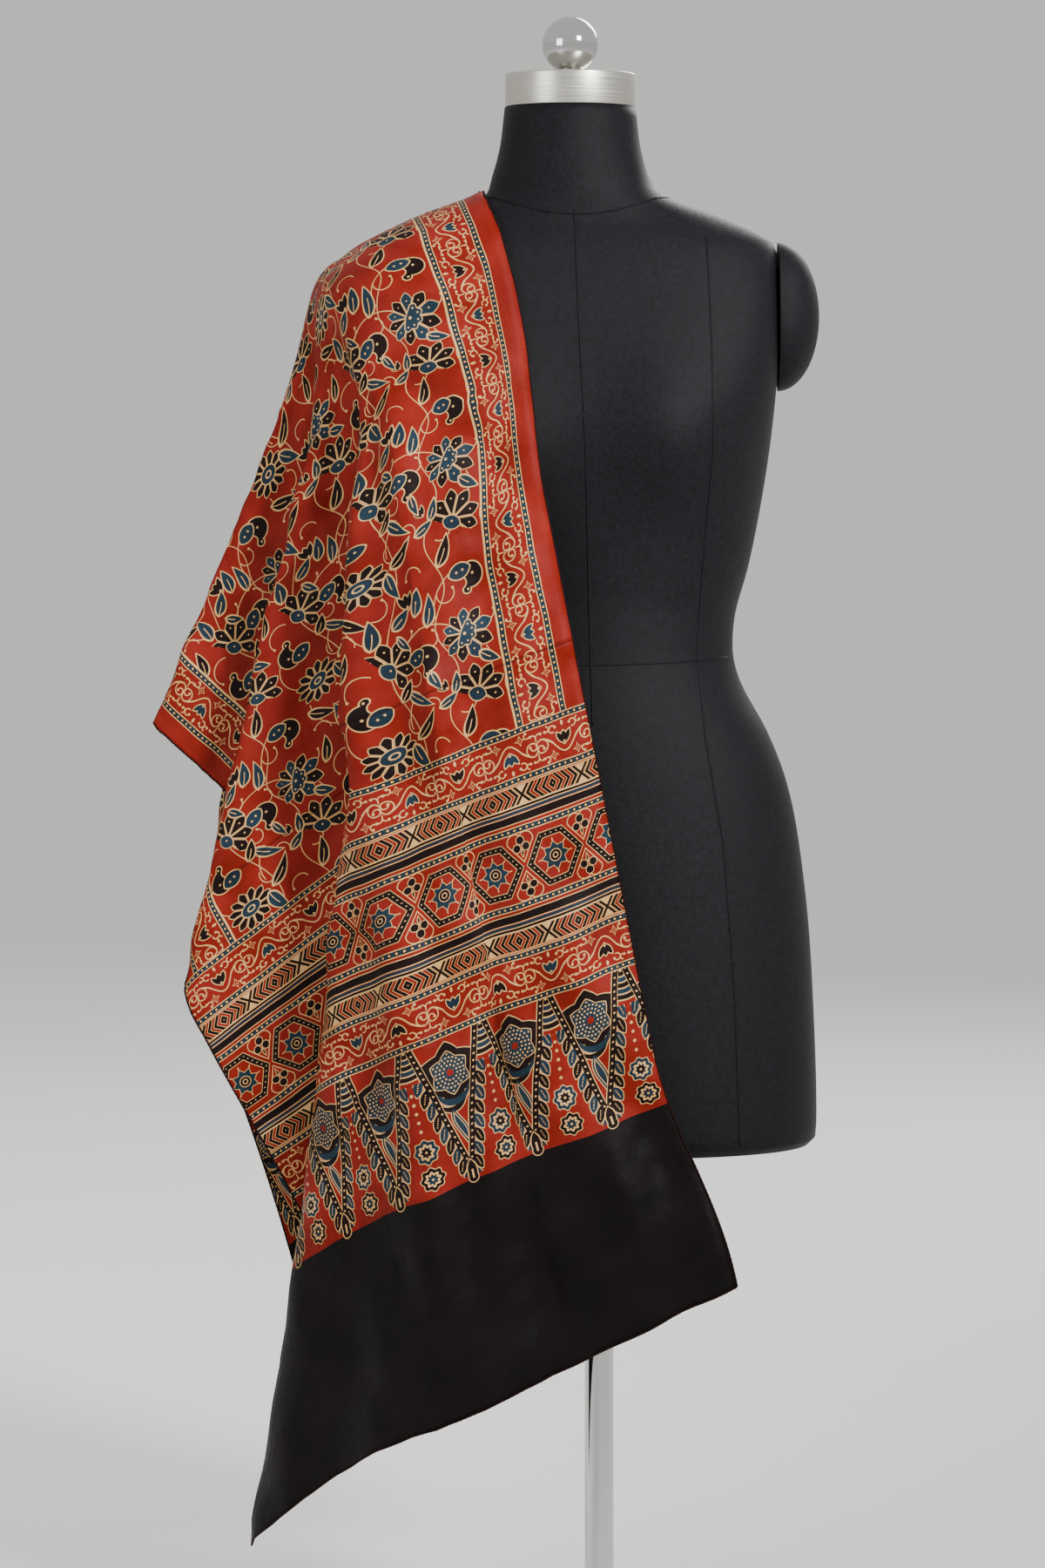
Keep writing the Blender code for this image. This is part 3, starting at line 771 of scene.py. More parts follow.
STEMS = (
    # across, down, radius, direction of the middle, half angle, bead
    (62, 74, 37.0, 88, 60, False),
    (40, 16, 7.5, -80, 105, True),
    (19, 30, 33.0, 150, 36, False),
    (60, 48, 7.0, -20, 80, True),
    (27, 80, 17.0, -8, 42, False),
    (38, 110, 9.0, -75, 55, True),
    (86, 36, 8.5, -70, 70, True),
    (82, 76, 6.5, -40, 100, True),
    (70, 110, 24.0, 155, 40, False),
    (68, 104, 7.0, 55, 95, True),
    (88, 112, 9.0, 215, 70, True),
    (122, 108, 22.0, 190, 50, False),
    (96, 6, 36.0, 205, 34, False),
    (68, 140, 8.0, 100, 90, True),
    (107, 8, 9.0, -30, 85, True),
    (126, 70, 12.0, 130, 80, True),
    (9, 44, 7.5, -60, 70, True),
    (132, 30, 8.0, 60, 80, True),
)
tree, place_mm, across_mm, down_mm = start_part("flowering_field")
half_turn = node(tree, "VectorMath", {0: place_mm, 1: (-1.0, -1.0, 0.0)}, operation="MULTIPLY").outputs[0]


def spot(across, down, turn=0.0):
    """Coordinates about a point of the field, turned by degrees, and repeated in every cell."""
    at = (-across - FIELD_START, -down, 0.0)
    vector = node(tree, "VectorMath", {0: half_turn, 1: at}, operation="SUBTRACT").outputs[0]
    half, low = (CELL[0] / 2, CELL[1] / 2, 1.0), (-CELL[0] / 2, -CELL[1] / 2, -1.0)
    vector = node(tree, "VectorMath", {0: vector, 1: half, 2: low}, operation="WRAP").outputs[0]
    if turn:
        inputs = {"Vector": vector, "Angle": radians(-turn)}
        vector = node(tree, "VectorRotate", inputs, rotation_type="Z_AXIS").outputs[0]
    split = node(tree, "SeparateXYZ", {0: vector})
    return Number(tree, split.outputs[0]), Number(tree, split.outputs[1])


field = across_mm * 0.0
for a, sway, turns, phase in ((47, 7.0, 2, 0.9), (96, 11.0, 1, 2.2)):
    wave = (down_mm * (turns * 2 * pi / CELL[1]) + phase).math("SINE") * sway
    off = (across_mm - (a + FIELD_START) + wave).math("WRAP", CELL[0] / 2, -CELL[0] / 2)
    field = field | line_of(off)
for a, b, radius, middle, half_angle, bead in STEMS:
    x, y = spot(a, b)
    field = field | stem_arc(x, y, radius, middle, half_angle, bead)
for motif, a, b, turn, *values in FIELD:
    x, y = spot(a, b, turn)
    field = lay(motif(x, y, *values), field)
field_part = end_part(field)

# %% [markdown]
# ### Borders
# Both long edges have a vine between two dotted guard lines. Each end has bands right across it: vine,
# chevrons and stripes on both sides of a row of hexagons. The bands are the same read from either side of
# the hexagons, so one distance from their middle draws them all. The vine is drawn once, in coordinates
# that are along a side border or across an end, whichever the place needs.

# %% Distances from the edges and the bands
HEXAGONS = 433.5  # from the hem to the middle of the hexagons
VINE_MIDDLE, GUARD_WIDTH, BORDER_MIDDLE, VINE_BAND = 16.6, 6.0, 40.0, 91.7
BORDER_END = BORDER_MIDDLE + VINE_MIDDLE + GUARD_WIDTH
BANDS_END = HEXAGONS + VINE_BAND + VINE_MIDDLE + GUARD_WIDTH
POINT_TOP = HEXAGONS - VINE_BAND - VINE_MIDDLE - GUARD_WIDTH


def distances(across_mm, down_mm):
    """Distances from the nearer long edge, from the nearer hem, and from the middle of the hexagons."""
    side_mm = across_mm & (STOLE_WIDTH * 1000 - across_mm)
    end_mm = (STOLE_FRONT * 1000 - down_mm) & (down_mm + (STOLE_LENGTH - STOLE_FRONT) * 1000)
    return side_mm, end_mm, abs(end_mm - HEXAGONS)


tree, place_mm, across_mm, down_mm = start_part("vine_borders")
side_mm, end_mm, band_mm = distances(across_mm, down_mm)
in_bands = end_mm < BANDS_END
run = choose(in_bands, across_mm, down_mm)
vine_across = choose(in_bands, band_mm - VINE_BAND, side_mm - BORDER_MIDDLE)


# %% Guard lines with dots
DOT_STEP, DOT_RADIUS = 5.4, 1.0


def guard(distance, along):
    """A narrow band of dots between two cream lines. distance is from its middle."""
    cell = along.math("PINGPONG", DOT_STEP / 2)
    ground = (cell > DOT_STEP * 0.27) * (INDIGO - BLACK) + BLACK
    dots = cream_on(ground, hypot(distance, cell) - DOT_RADIUS)
    half = GUARD_WIDTH / 2
    return inside(distance, -half, half) * cream_on(dots, -abs(distance) + (half - LINE))


guards = guard(abs(vine_across) - (VINE_MIDDLE + GUARD_WIDTH / 2), run)
guards = guards | line_of(side_mm - (BORDER_END + 0.6), 1.6) * (end_mm > BANDS_END - 3.0)

# %% The vine
STEP = 49.0
turn_number = (run * (1 / STEP)).math("FLOOR")
flip = 1.0 - turn_number.math("FLOORED_MODULO", 2.0) * 2.0
s = run - (turn_number + 0.5) * STEP
t = vine_across * flip
sx = abs(s)
bend = sx * (pi / 21.0)
wave = -bend.math("COSINE")
wave = wave * (9.6 - (wave > 0.0) * 3.7)
vine = line_of((t - wave) * (1.0 - bend.math("SINE") * 0.4), 1.15) * (sx < 20.4)
flower_ink = (flip > 0.0) * (BLACK - INDIGO) + INDIGO
vine = vine | tulip(s, t - 0.8, flower_ink)
CURLS = (
    # along, across, radius, direction of the middle, half angle, bead
    (19.6, 1.1, 4.9, 38, 54, False),
    (20.4, 0.3, 5.4, 200, 112, False),
    (21.4, -1.6, 2.7, 75, 115, True),
    (21.6, -8.3, 2.9, -60, -62, True),
    (21.6, 8.3, 2.9, 60, 62, True),
    (9.6, 10.8, 2.9, 20, 140, True),
    (14.8, 12.4, 2.2, 200, 110, True),
    (17.2, -12.6, 2.3, 150, 110, True),
)
for x0, y0, radius, middle, half_angle, bead in CURLS:
    vine = vine | stem_arc(sx - x0, t - y0, radius, middle, half_angle, bead, 1.0)
vine = vine | line_of(sx - 24.5, 0.9) * inside(abs(t), 5.2, 8.6)
x, y = abs(sx - 11.0), abs(t + 10.8)
star = x + y + (x & y) * 1.5
vine = over(vine, line_of(star - 4.0, 1.2), star < 0.8, leaf(t - 13.4, s, 2.4, 1.2) < 0.0)
vine = vine * (abs(vine_across) < VINE_MIDDLE)
borders_part = end_part(guards | vine)

# %% Chevrons and stripes
CHEVRON_STEP = 54.0
tree, place_mm, across_mm, down_mm = start_part("end_bands")
side_mm, end_mm, band_mm = distances(across_mm, down_mm)
near_hexagons = guard(band_mm - 31.4, across_mm)
spread = (across_mm + 12.0).math("PINGPONG", CHEVRON_STEP / 2)
q = spread + abs(band_mm - 59.6) * 0.8
stripes = (q * (1 / 6.75)).math("FRACT")
chevron = inside(stripes, 0.08, 0.54) * BLACK | (stripes < 0.08) | inside(stripes, 0.54, 0.63)
crossing = inside(q, CHEVRON_STEP / 2 - 1.4, CHEVRON_STEP / 2 + 1.4)
chevron = choose(q > CHEVRON_STEP / 2 - 2.1, crossing * (BLACK - CREAM) + CREAM, chevron)
chevron = chevron * inside(band_mm, 52.2, 67.0) | line_of(band_mm - 51.9, 0.9) | line_of(band_mm - 67.9, 0.9)
bars = over(
    inside(band_mm, 37.6, 44.0) * BLACK,
    inside(band_mm, 45.4, 47.9) * INDIGO,
    inside(band_mm, 48.9, 50.8) * BLACK,
    *(line_of(band_mm - at, 0.8) for at in (37.2, 44.5, 48.4, 51.2)),
)

# %% Hexagons with stars
s = (across_mm + 3.0).math("WRAP", CHEVRON_STEP / 2, -CHEVRON_STEP / 2)
sx, t = abs(s), band_mm
flat_side = t - 23.2
slant = sx * 0.832 + t * 0.555 - 21.6
hexagon = flat_side | slant
run_hex = choose(flat_side > slant, sx, t * 1.2)
beads = hypot(hexagon + 2.9, run_hex.math("PINGPONG", 2.4)) - 0.58
border = cream_on(cream_on(hexagon * 0.0 + BLACK, beads), 2.35 - abs(hexagon + 2.9))
border = inside(hexagon, -5.8, 0.0) * border
angle, radius = t.math("ARCTAN2", s), hypot(s, t)
spokes = (angle * (4 / pi)).math("PINGPONG", 0.5)
star = radius * (spokes * 0.72 + 0.78) - 9.9
star = cream_on(inked(star, INDIGO, 0.7), abs(radius - 4.9) - 0.35)
star = choose(radius < 4.6, cream_on(radius * 0.0 + BLACK, abs(radius - 2.1) - 0.4), star)
ticks = (spokes * radius < 0.6) * inside(radius, 12.6, 15.2)
edge_x = CHEVRON_STEP / 2 - sx
lobes = disc(edge_x, t - 22.4, 3.8) & disc(edge_x - 4.1, t - 16.4, 3.7)
lobes = lobes & (abs(edge_x) + abs(t - 11.6) * 0.35 - 1.6)
frame_line = (edge_x * 0.832 - (t - 4.0) * 0.555) | (hypot(edge_x - 5.0, t - 22.0) - 6.4 - (t < 21.0) * 30.0)
hexagons = over(border, star, ticks, inked(lobes, BLACK, 0.6), line_of(frame_line, 0.8))
hexagons = hexagons * (band_mm < 28.6)
bands_part = end_part(over(chevron, bars, near_hexagons, hexagons))

# %% [markdown]
# ### The row of points
# Past the last vine a row of long points hangs towards the hem. Each is a V of dotted black bands with
# leaves along its outside, a flower inside it, and a drop at its tip that runs into the plain black end.
# Dots and two rosettes fill the gap between one point and the next.

# %% Points, leaves and drops
POINT_STEP, POINT_HEIGHT = 69.0, 117.0
tree, place_mm, across_mm, down_mm = start_part("points_and_end")
side_mm, end_mm, band_mm = distances(across_mm, down_mm)
below = POINT_TOP - end_mm
s = (across_mm + 20.0).math("WRAP", POINT_STEP / 2, -POINT_STEP / 2)
sx = abs(s)
arm = (sx - (POINT_HEIGHT - below) * (30.0 / POINT_HEIGHT)) * 0.969
arm_run = below * 1.03
dots = hypot(arm, arm_run.math("PINGPONG", 2.9)) - 0.9
arms = inside(arm, -3.4, 3.4) * cream_on(cream_on(arm * 0.0 + BLACK, dots), 2.6 - abs(arm))
arms = arms * inside(below, 0.0, POINT_HEIGHT)
LEAF_STEP = 11.6
leaves = None
for start, ink in ((0.0, BLACK), (LEAF_STEP, INDIGO)):
    leaf_x = (arm_run - start).math("WRAP", LEAF_STEP, -LEAF_STEP)
    leaf_y = arm - 6.7
    along_leaf, across_leaf = leaf_x * 0.87 + leaf_y * 0.49, leaf_y * 0.87 - leaf_x * 0.49
    one = inked(leaf(along_leaf, across_leaf, 9.8, 4.0), ink, 0.7)
    stitches = disc(along_leaf.math("PINGPONG", 1.0), across_leaf, 0.5)
    one = cream_on(one, stitches + (abs(along_leaf) > 4.6) * 9.0)
    leaves = one if leaves is None else lay(one, leaves)
leaves = leaves * (arm > 2.4) * inside(below, 30.0, POINT_HEIGHT + 6.0) * (sx < POINT_STEP / 2 - 2.6)
drop = hypot(sx, below - (POINT_HEIGHT + 8.0)) - 5.3
drop = drop & leaf(below - (POINT_HEIGHT + 2.0), sx, 11.5, 5.2)
drop = cream_on(inked(drop, BLACK), sx - 0.9 + (abs(below - POINT_HEIGHT - 5.0) > 4.0) * 9.0)

# %% Flowers inside the points, and what lies between them
y = below - 31.0
radius, angle = hypot(s, y), y.math("ARCTAN2", s)
scallop = (angle * (3 / pi) + 0.5).math("PINGPONG", 0.5)
rim = radius * (scallop * 0.55 + 0.86)
flower = inked(rim - 24.0, BLACK, 0.9)
flower = choose(rim < 16.6, inked(rim - 16.6, INDIGO, 0.8), flower)
ring = (radius * (1 / 3.2)).math("ROUND")
seeds = (angle * ring * (6 / (2 * pi))).math("FRACT") - 0.5
seeds = hypot(radius - ring * 3.2, seeds * 3.4) - 0.85
flower = cream_on(flower, seeds + (rim > 14.4) * 9.0 + (radius < 3.9) * 9.0)
flower = choose(radius < 3.0, cream_on(radius * 0.0, abs(radius - 2.5) - 0.6), flower)
crescent = (disc(s, below - 43.0, 16.5)) | -(disc(s, below - 37.0, 15.2))
crescent = inked(crescent, INDIGO, 0.8) * (below > 46.0)
second = (disc(s - 2.5, below - 50.0, 14.5)) | -(disc(s - 3.5, below - 44.5, 13.8))
crescent = crescent | inked(second, BLACK, 0.8) * (below > 53.0)
stalk_x = s + 3.4 * ((below - 76.0) * 0.11).math("SINE")
stalk = leaf(below - 77.0, stalk_x, 18.0, 5.6)
stalk = cream_on(inked(stalk, INDIGO, 0.8), abs(stalk + 2.6) - 0.35)
inner = over(flower, crescent, stalk) * (arm < -3.0)
between = POINT_STEP / 2 - sx
arcs = hypot(between, below - 1.0) * (1 / 5.0)
arcs = choose(arcs.math("FRACT") < 0.24, 1.0, arcs.math("FLOOR").math("FLOORED_MODULO", 2.0) + BLACK)
arcs = arcs * (arm > 2.9) * (hypot(between, below - 1.0) < 26.2)
beads = disc(between, below.math("PINGPONG", 3.85), 1.35) < 0.0
beads = beads * inside(below, 32.0, 75.0)
rosettes = None
for centre, ink, other in ((87.0, INDIGO, BLACK), (111.0, BLACK, INDIGO)):
    x, y = between, below - centre
    radius = hypot(x, y)
    lobed = radius - (y.math("ARCTAN2", x) * 8.0).math("COSINE") * 0.9
    rosette = cream_on(inked(lobed - 10.5, ink), abs(lobed - 5.4) - 1.15)
    rosette = choose(radius < 3.7, cream_on(radius * 0.0 + other, radius - 1.1), rosette)
    rosettes = rosette if rosettes is None else rosettes | rosette
points = over(arms, leaves, inner, arcs, beads, rosettes)
points = choose(below > POINT_HEIGHT + 10.0, below * 0.0 + END_BLACK, points)
points_part = end_part(choose(drop > 0.5, drop, points))

# %% [markdown]
# The four parts meet in the cotton's material. A slow wobble of about a millimetre goes through all of
# them, because the blocks are set down by eye and the cloth gives.

# %% Put the print together
print_material, tree, cloth_shader = new_material(
    "block_printed_cotton", Roughness=0.46, Specular_IOR_Level=0.08
)
uv = node(tree, "UVMap", uv_map="flat")
place = node(tree, "VectorMath", {0: uv.outputs[0], 1: (1000.0, 1000.0, 0.0)}, operation="MULTIPLY")
wobble = node(
    tree, "TexNoise", {"Vector": place.outputs[0], "Scale": 0.016, "Detail": 1.0}, noise_dimensions="2D"
)
wobble = node(tree, "VectorMath", {0: wobble.outputs["Color"], 1: (-0.5, -0.5, 0.0)}, operation="ADD")
steps = {0: wobble.outputs[0], 1: (4.0, 4.0, 0.0), 2: place.outputs[0]}
wobble = node(tree, "VectorMath", steps, operation="MULTIPLY_ADD")
parts = node(tree, "SeparateXYZ", {0: wobble.outputs[0]})
side_mm, end_mm, band_mm = distances(*(Number(tree, parts.outputs[i]) for i in (0, 1)))
field, borders, bands, points = (
    Number(tree, node(tree, "Group", {0: wobble.outputs[0]}, node_tree=part).outputs[0])
    for part in (field_part, borders_part, bands_part, points_part)
)
ink = choose(side_mm > BORDER_END + 1.0, field, borders)
ink = choose(end_mm < BANDS_END, borders | bands * (band_mm < VINE_BAND - VINE_MIDDLE - GUARD_WIDTH), ink)
ink = choose(end_mm < POINT_TOP, points, ink)

# %% [markdown]
# Each ink soaks into the cotton unevenly. So every colour is mixed from two, by soft cloudy patches of 10
# to 50 mm, and finer specks warm the madder, as where a block took less dye. Block-printed cotton is matt
# with a faint polish from washing and pressing, which gives the eye deep flat colours. The weave is far
# finer than the print. It is drawn at 0.5 mm a thread, coarser than real, so that the cloth looks thready
# from near.

# %% Colours of the inks, and painted shade along the storage crease
clouds = node(
    tree, "TexNoise", {"Vector": place.outputs[0], "Scale": 0.022, "Detail": 3.0}, noise_dimensions="2D"
)
clouds = node(tree, "MapRange", {0: clouds.outputs[0], 1: 0.35, 2: 0.68}).outputs[0]
specks = node(
    tree, "TexNoise", {"Vector": place.outputs[0], "Scale": 0.9, "Detail": 2.0}, noise_dimensions="2D"
)
specks = node(tree, "MapRange", {0: specks.outputs[0], 1: 0.40, 2: 0.75}).outputs[0]


def dye_or_painted_shade(share, first, second):
    """A colour mixed with a second one by a share, for uneven dye and for painted shade. Each colour is a hex
    value or a socket.
    """
    first, second = (linear(c) if isinstance(c, str) else c for c in (first, second))
    return node(tree, "Mix", {0: share, 6: first, 7: second}, data_type="RGBA").outputs[2]


INKS = (
    # ink, one shade, the other shade
    (GROUND, "#6E130D", "#86201A"),
    (CREAM, "#C6985E", "#D8AE74"),
    (BLACK, "#140B0A", "#1C100F"),
    (INDIGO, "#17252F", "#213441"),
    (END_BLACK, "#0E0A0A", "#150E0F"),
)
colour = dye_or_painted_shade(Number(tree, specks) * 0.22, dye_or_painted_shade(clouds, *INKS[0][1:]), "#9A3416")
for number, first, second in INKS[1:]:
    colour = dye_or_painted_shade(ink > number - 0.5, colour, dye_or_painted_shade(clouds, first, second))
FOLD_LINE, LONG_FOLD = 604.0, 273.5  # where the stole lay folded, from the hem and from the long edge
beside = side_mm < LONG_FOLD - 11.5
# Painted shade: a thin dark line is mixed into the print along the storage crease, where the crease would
# cast its shadow.
painted_crease_shade = inside(end_mm, FOLD_LINE - 0.8, FOLD_LINE + 0.8) * beside * 0.45
colour = dye_or_painted_shade(painted_crease_shade, colour, "#1C0605")
tree.links.new(colour, cloth_shader.inputs["Base Color"])

threads = node(tree, "VectorMath", {0: place.outputs[0], 1: (2 * pi, 2 * pi, 0.0)}, operation="MULTIPLY")
threads = node(tree, "SeparateXYZ", {0: threads.outputs[0]})
warp, weft = (Number(tree, threads.outputs[i]).math("SINE") for i in (0, 1))
weave = node(tree, "Bump", {"Height": warp * weft, "Strength": 0.25, "Distance": 0.0002})
slubs = node(
    tree, "TexNoise", {"Vector": place.outputs[0], "Scale": 0.12, "Detail": 5.0}, noise_dimensions="2D"
)
height = Number(tree, slubs.outputs[0]) - inside(end_mm, 9.0, 10.4) * 0.8
folded_across = (2.6 - abs(end_mm - FOLD_LINE)) * 1.3 | 0.0
folded_along = (2.2 - abs(side_mm - LONG_FOLD)) * 0.35 | 0.0
height = height - folded_across * beside - folded_along
weave = node(
    tree, "Bump", {"Height": height, "Strength": 0.35, "Distance": 0.0014, "Normal": weave.outputs[0]}
)
tree.links.new(weave.outputs[0], cloth_shader.inputs["Normal"])
stole.data.materials.append(print_material)
print("the printed cotton has", len(tree.nodes), "nodes")

# %% [markdown]
# ## The stitched edge
# All four edges are rolled once and overcast with dark thread. The rolled edge is a cord 1.5 to 2 mm thick
# that swells between the stitches, and it follows the rim of the sheet.

# %% Sweep the edge
def swept(path, radii, name, material, closed=False):
    """A tube of changing radius along a path of points, as a mesh."""
    curve = bpy.data.curves.new(name, "CURVE")
    curve.dimensions, curve.bevel_depth, curve.bevel_resolution, curve.use_fill_caps = "3D", 1.0, 1, True
    spline = curve.splines.new("POLY")
    spline.points.add(len(path) - 1)
    spline.points.foreach_set("co", np.column_stack([path, np.ones(len(path))]).ravel())
    spline.points.foreach_set("radius", radii)
    spline.use_cyclic_u = closed
    guide = bpy.data.objects.new(name, curve)
    bm = bmesh.new()
    bm.from_mesh(guide.to_mesh())
    guide.to_mesh_clear()
    bpy.data.objects.remove(guide)
    bmesh.ops.remove_doubles(bm, verts=bm.verts, dist=1e-6)
    bmesh.ops.recalc_face_normals(bm, faces=bm.faces)
    return finished(bm, name, material)


def evenly(path, step):
    """A path with its points at an even step."""
    along = np.concatenate([[0.0], np.cumsum(np.linalg.norm(np.diff(path, axis=0), axis=1))])
    at = np.linspace(0.0, along[-1], round(along[-1] / step) + 1)
    return np.column_stack([np.interp(at, along, path[:, axis]) for axis in range(3)])


EDGE_STEP, STITCH_LENGTH = 0.0013, 0.0044
EDGE_RADIUS, EDGE_SWELL = 0.00075, 0.00025
rim = np.vstack([grid[0], grid[1:-1, -1], grid[-1, ::-1]])
apart = np.linalg.norm(np.diff(rim, axis=0), axis=1) > 1e-6
rim = evenly(rim[np.r_[True, apart]], EDGE_STEP)[:-1]
stitch = np.abs(np.sin(np.arange(len(rim)) * pi * EDGE_STEP / STITCH_LENGTH))
print("the edge is", round(len(rim) * EDGE_STEP, 2), "m long")
# Cotton thread, overcast: it takes no light, so the edge reads as a dark line.
edging_material, _, _ = new_material(
    "dark_edging_thread", Base_Color=linear("#1E0D0C"), Roughness=0.8, Specular_IOR_Level=0.1
)
radii = EDGE_RADIUS + EDGE_SWELL * stitch
edging = swept(rim, radii, "stole_edge", edging_material, closed=True)

# %% [markdown]
# ## Jersey, metal and the rest of the form
# The form is covered in black knitted jersey, cut in panels. Jersey is a fine loop knit, so it gives the
# eye a soft black with almost no shine. Its loops are drawn 1.5 to 2 mm apart. The seams are flat ridges no
# more than a millimetre high, so they show only as faint lines. A neck cap of brushed steel carries a
# polished ball.

# %% Jersey
jersey, tree, shader = new_material(
    "black_jersey", Base_Color=linear("#17161A"), Roughness=0.55, Specular_IOR_Level=0.12
)
coordinates = node(tree, "TexCoord")
loops = {0: coordinates.outputs["Object"], 1: (3400.0, 3400.0, 4200.0)}
knit = node(tree, "VectorMath", loops, operation="MULTIPLY")
knit = node(tree, "SeparateXYZ", {0: knit.outputs[0]})
rows_of_knit = Number(tree, knit.outputs[0]).math("SINE") * Number(tree, knit.outputs[2]).math("SINE")
fuzz = node(tree, "TexNoise", {"Vector": coordinates.outputs["Object"], "Scale": 260.0, "Detail": 4.0})
height = rows_of_knit * 0.6 + Number(tree, fuzz.outputs[0])
knit = node(tree, "Bump", {"Height": height, "Strength": 0.35, "Distance": 0.0005})
tree.links.new(knit.outputs[0], shader.inputs["Normal"])
shade = node(tree, "MapRange", {0: fuzz.outputs[0], 1: 0.3, 2: 0.7}).outputs[0]
tree.links.new(dye_or_painted_shade(shade, "#0E0E11", "#17171B"), shader.inputs["Base Color"])
form.data.materials.append(jersey)
print("the jersey has", len(tree.nodes), "nodes")

# %% [markdown]
# The jersey's panels meet in a centre seam, two princess seams and a waist seam, in front and behind, and
# in one round the neck. A seam is given by a few points as it is seen, and cast onto the skin from that
# side, so it follows every curve of the form. A thin tube along it, half sunk in the skin, gives the raised
# line.

# %% Seams
def at_heights(*across):
    """Points of a seam of the front, down from the shoulder to the lower edge."""
    return tuple(zip(across, (1.212, 1.12, 1.03, 0.94, 0.86, 0.79, 0.70, 0.58, 0.445)))


def behind_at(*across):
    """Points of a seam of the back."""
    return tuple(zip(across, (1.212, 1.10, 0.98, 0.86, 0.72, 0.58, 0.445)))


SEAMS = (
    # name, in front or behind, and points as seen from there: x, z
    ("centre_front", -1, ((0.003, 1.236), (0.006, 1.15), (0.012, 1.03), (0.015, 0.90), (0.018, 0.80))),
    ("princess_right", -1, at_heights(0.115, 0.118, 0.119, 0.112, 0.107, 0.113, 0.128, 0.137, 0.142)),
    ("princess_left", -1, at_heights(-0.100, -0.106, -0.108, -0.098, -0.082, -0.084, -0.094, -0.098, -0.096)),
    ("waist_front", -1, tuple((x, 0.857 - 0.006 * cos(x * 9)) for x in np.linspace(-0.106, 0.134, 9))),
    (
        "centre_back",
        1,
        ((0.000, 1.250), (0.003, 1.12), (0.008, 0.98), (0.013, 0.86), (0.018, 0.70), (0.024, 0.445)),
    ),
    ("princess_back_right", 1, behind_at(0.105, 0.100, 0.092, 0.080, 0.095, 0.110, 0.118)),
    ("princess_back_left", 1, behind_at(-0.095, -0.092, -0.082, -0.058, -0.062, -0.066, -0.068)),
    ("waist_back", 1, tuple((x, 0.857) for x in np.linspace(-0.104, 0.132, 9))),
)


def on_form(points, way):
    """Points of a seam put on the form's skin, from in front (-1) or behind (1)."""
    path = evenly(np.array([(x, 0.0, z) for x, z in points]), 0.004)
    placed = []
    for x, _, z in path:
        hit = form_tree.ray_cast(Vector((x, way * 0.5, z)), Vector((0, -way, 0)))[0]
        if hit:
            placed.append(hit)
    return np.array(placed)


SEAM_RADIUS = 0.00085
for name, way, points in SEAMS:
    path = on_form(points, way)
    seam = swept(path, np.full(len(path), SEAM_RADIUS), "seam_" + name, jersey)
base = [form_ring(row, 180) for row in form_table(0.010) if abs(row[0] - 1.248) < 0.006][0]
dip = -0.016 * (base[:, 1] < 0) * np.abs(base[:, 1] / 0.061) ** 2  # lower at the throat
neck_seam = base + np.outer(dip, (0, 0, 1))
neck_seam = np.array([form_tree.find_nearest(Vector(p))[0] for p in neck_seam])
seam = swept(neck_seam, np.full(len(neck_seam), SEAM_RADIUS), "seam_neck", jersey, closed=True)
print(len(SEAMS) + 1, "seams lie on the jersey")

# %% [markdown]
# A padded cap closes each armhole. It is half of a stretched ball, cut flat where it meets the form, with
# its size from the CAD part's box.

# %% Stumps of the arms
for name, side in (("arm_stump_left", -1), ("arm_stump_right", 1)):
    low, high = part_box(name)
    size = high - low
    print(name, "stands out", round(size.x * 1000, 1), "mm")
    bm = bmesh.new()
    bmesh.ops.create_uvsphere(bm, u_segments=64, v_segments=32, radius=1.0)
    bmesh.ops.scale(bm, verts=bm.verts, vec=(size.x, size.y / 2, size.z / 2))
    geometry = bm.verts[:] + bm.edges[:] + bm.faces[:]
    cut = {"plane_co": (0, 0, 0), "plane_no": (-side, 0, 0), "clear_outer": True, "dist": 1e-6}
    bmesh.ops.bisect_plane(bm, geom=geometry, **cut)
    bmesh.ops.contextual_create(bm, geom=[edge for edge in bm.edges if edge.is_boundary])
    place = (low.x if side > 0 else high.x, 0, (low.z + high.z) / 2)
    bmesh.ops.translate(bm, verts=bm.verts, vec=place)
    bmesh.ops.recalc_face_normals(bm, faces=bm.faces)
    stump = finished(bm, name + "_skin", jersey)
    stump.data.set_sharp_from_angle(angle=radians(60))
    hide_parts(name)

# %% [markdown]
# The metal parts are turned, so each is a profile of radius and height swept round, with its size from the
# CAD part's box. Brushed steel has fine level scratches, drawn about 1 mm apart, which give it soft
# stretched highlights. The ball and the stand are polished, so they mirror the room.

# %% Metal
brushed, tree, shader = new_material(
    "brushed_steel", Base_Color=linear("#C9C6BB"), Metallic=1.0, Roughness=0.3
)
coordinates = node(tree, "TexCoord")
scratches = node(tree, "Mapping", {"Vector": coordinates.outputs["Object"], "Scale": (6.0, 6.0, 900.0)})
scratches = node(tree, "TexNoise", {"Vector": scratches.outputs[0], "Scale": 1.0, "Detail": 3.0})
rough = node(tree, "MapRange", {0: scratches.outputs[0], 1: 0.3, 2: 0.7, 3: 0.26, 4: 0.46}).outputs[0]
tree.links.new(rough, shader.inputs["Roughness"])
polished, _, _ = new_material("polished_steel", Base_Color=linear("#C9C8C6"), Metallic=1.0, Roughness=0.09)


def turned(name, profile, material):
    """A profile of radius and height, from the bottom up, turned about the CAD part's upright axis."""
    low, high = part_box(name)
    x = (low.x + high.x) / 2
    turns = 2 * pi * np.arange(96) / 96
    rings = [[(x + r * cos(turn), r * sin(turn), z) for turn in turns] for r, z in profile]
    piece = finished(joined_rings(rings), name + "_turned", material)
    piece.data.set_sharp_from_angle(angle=radians(40))
    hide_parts(name)


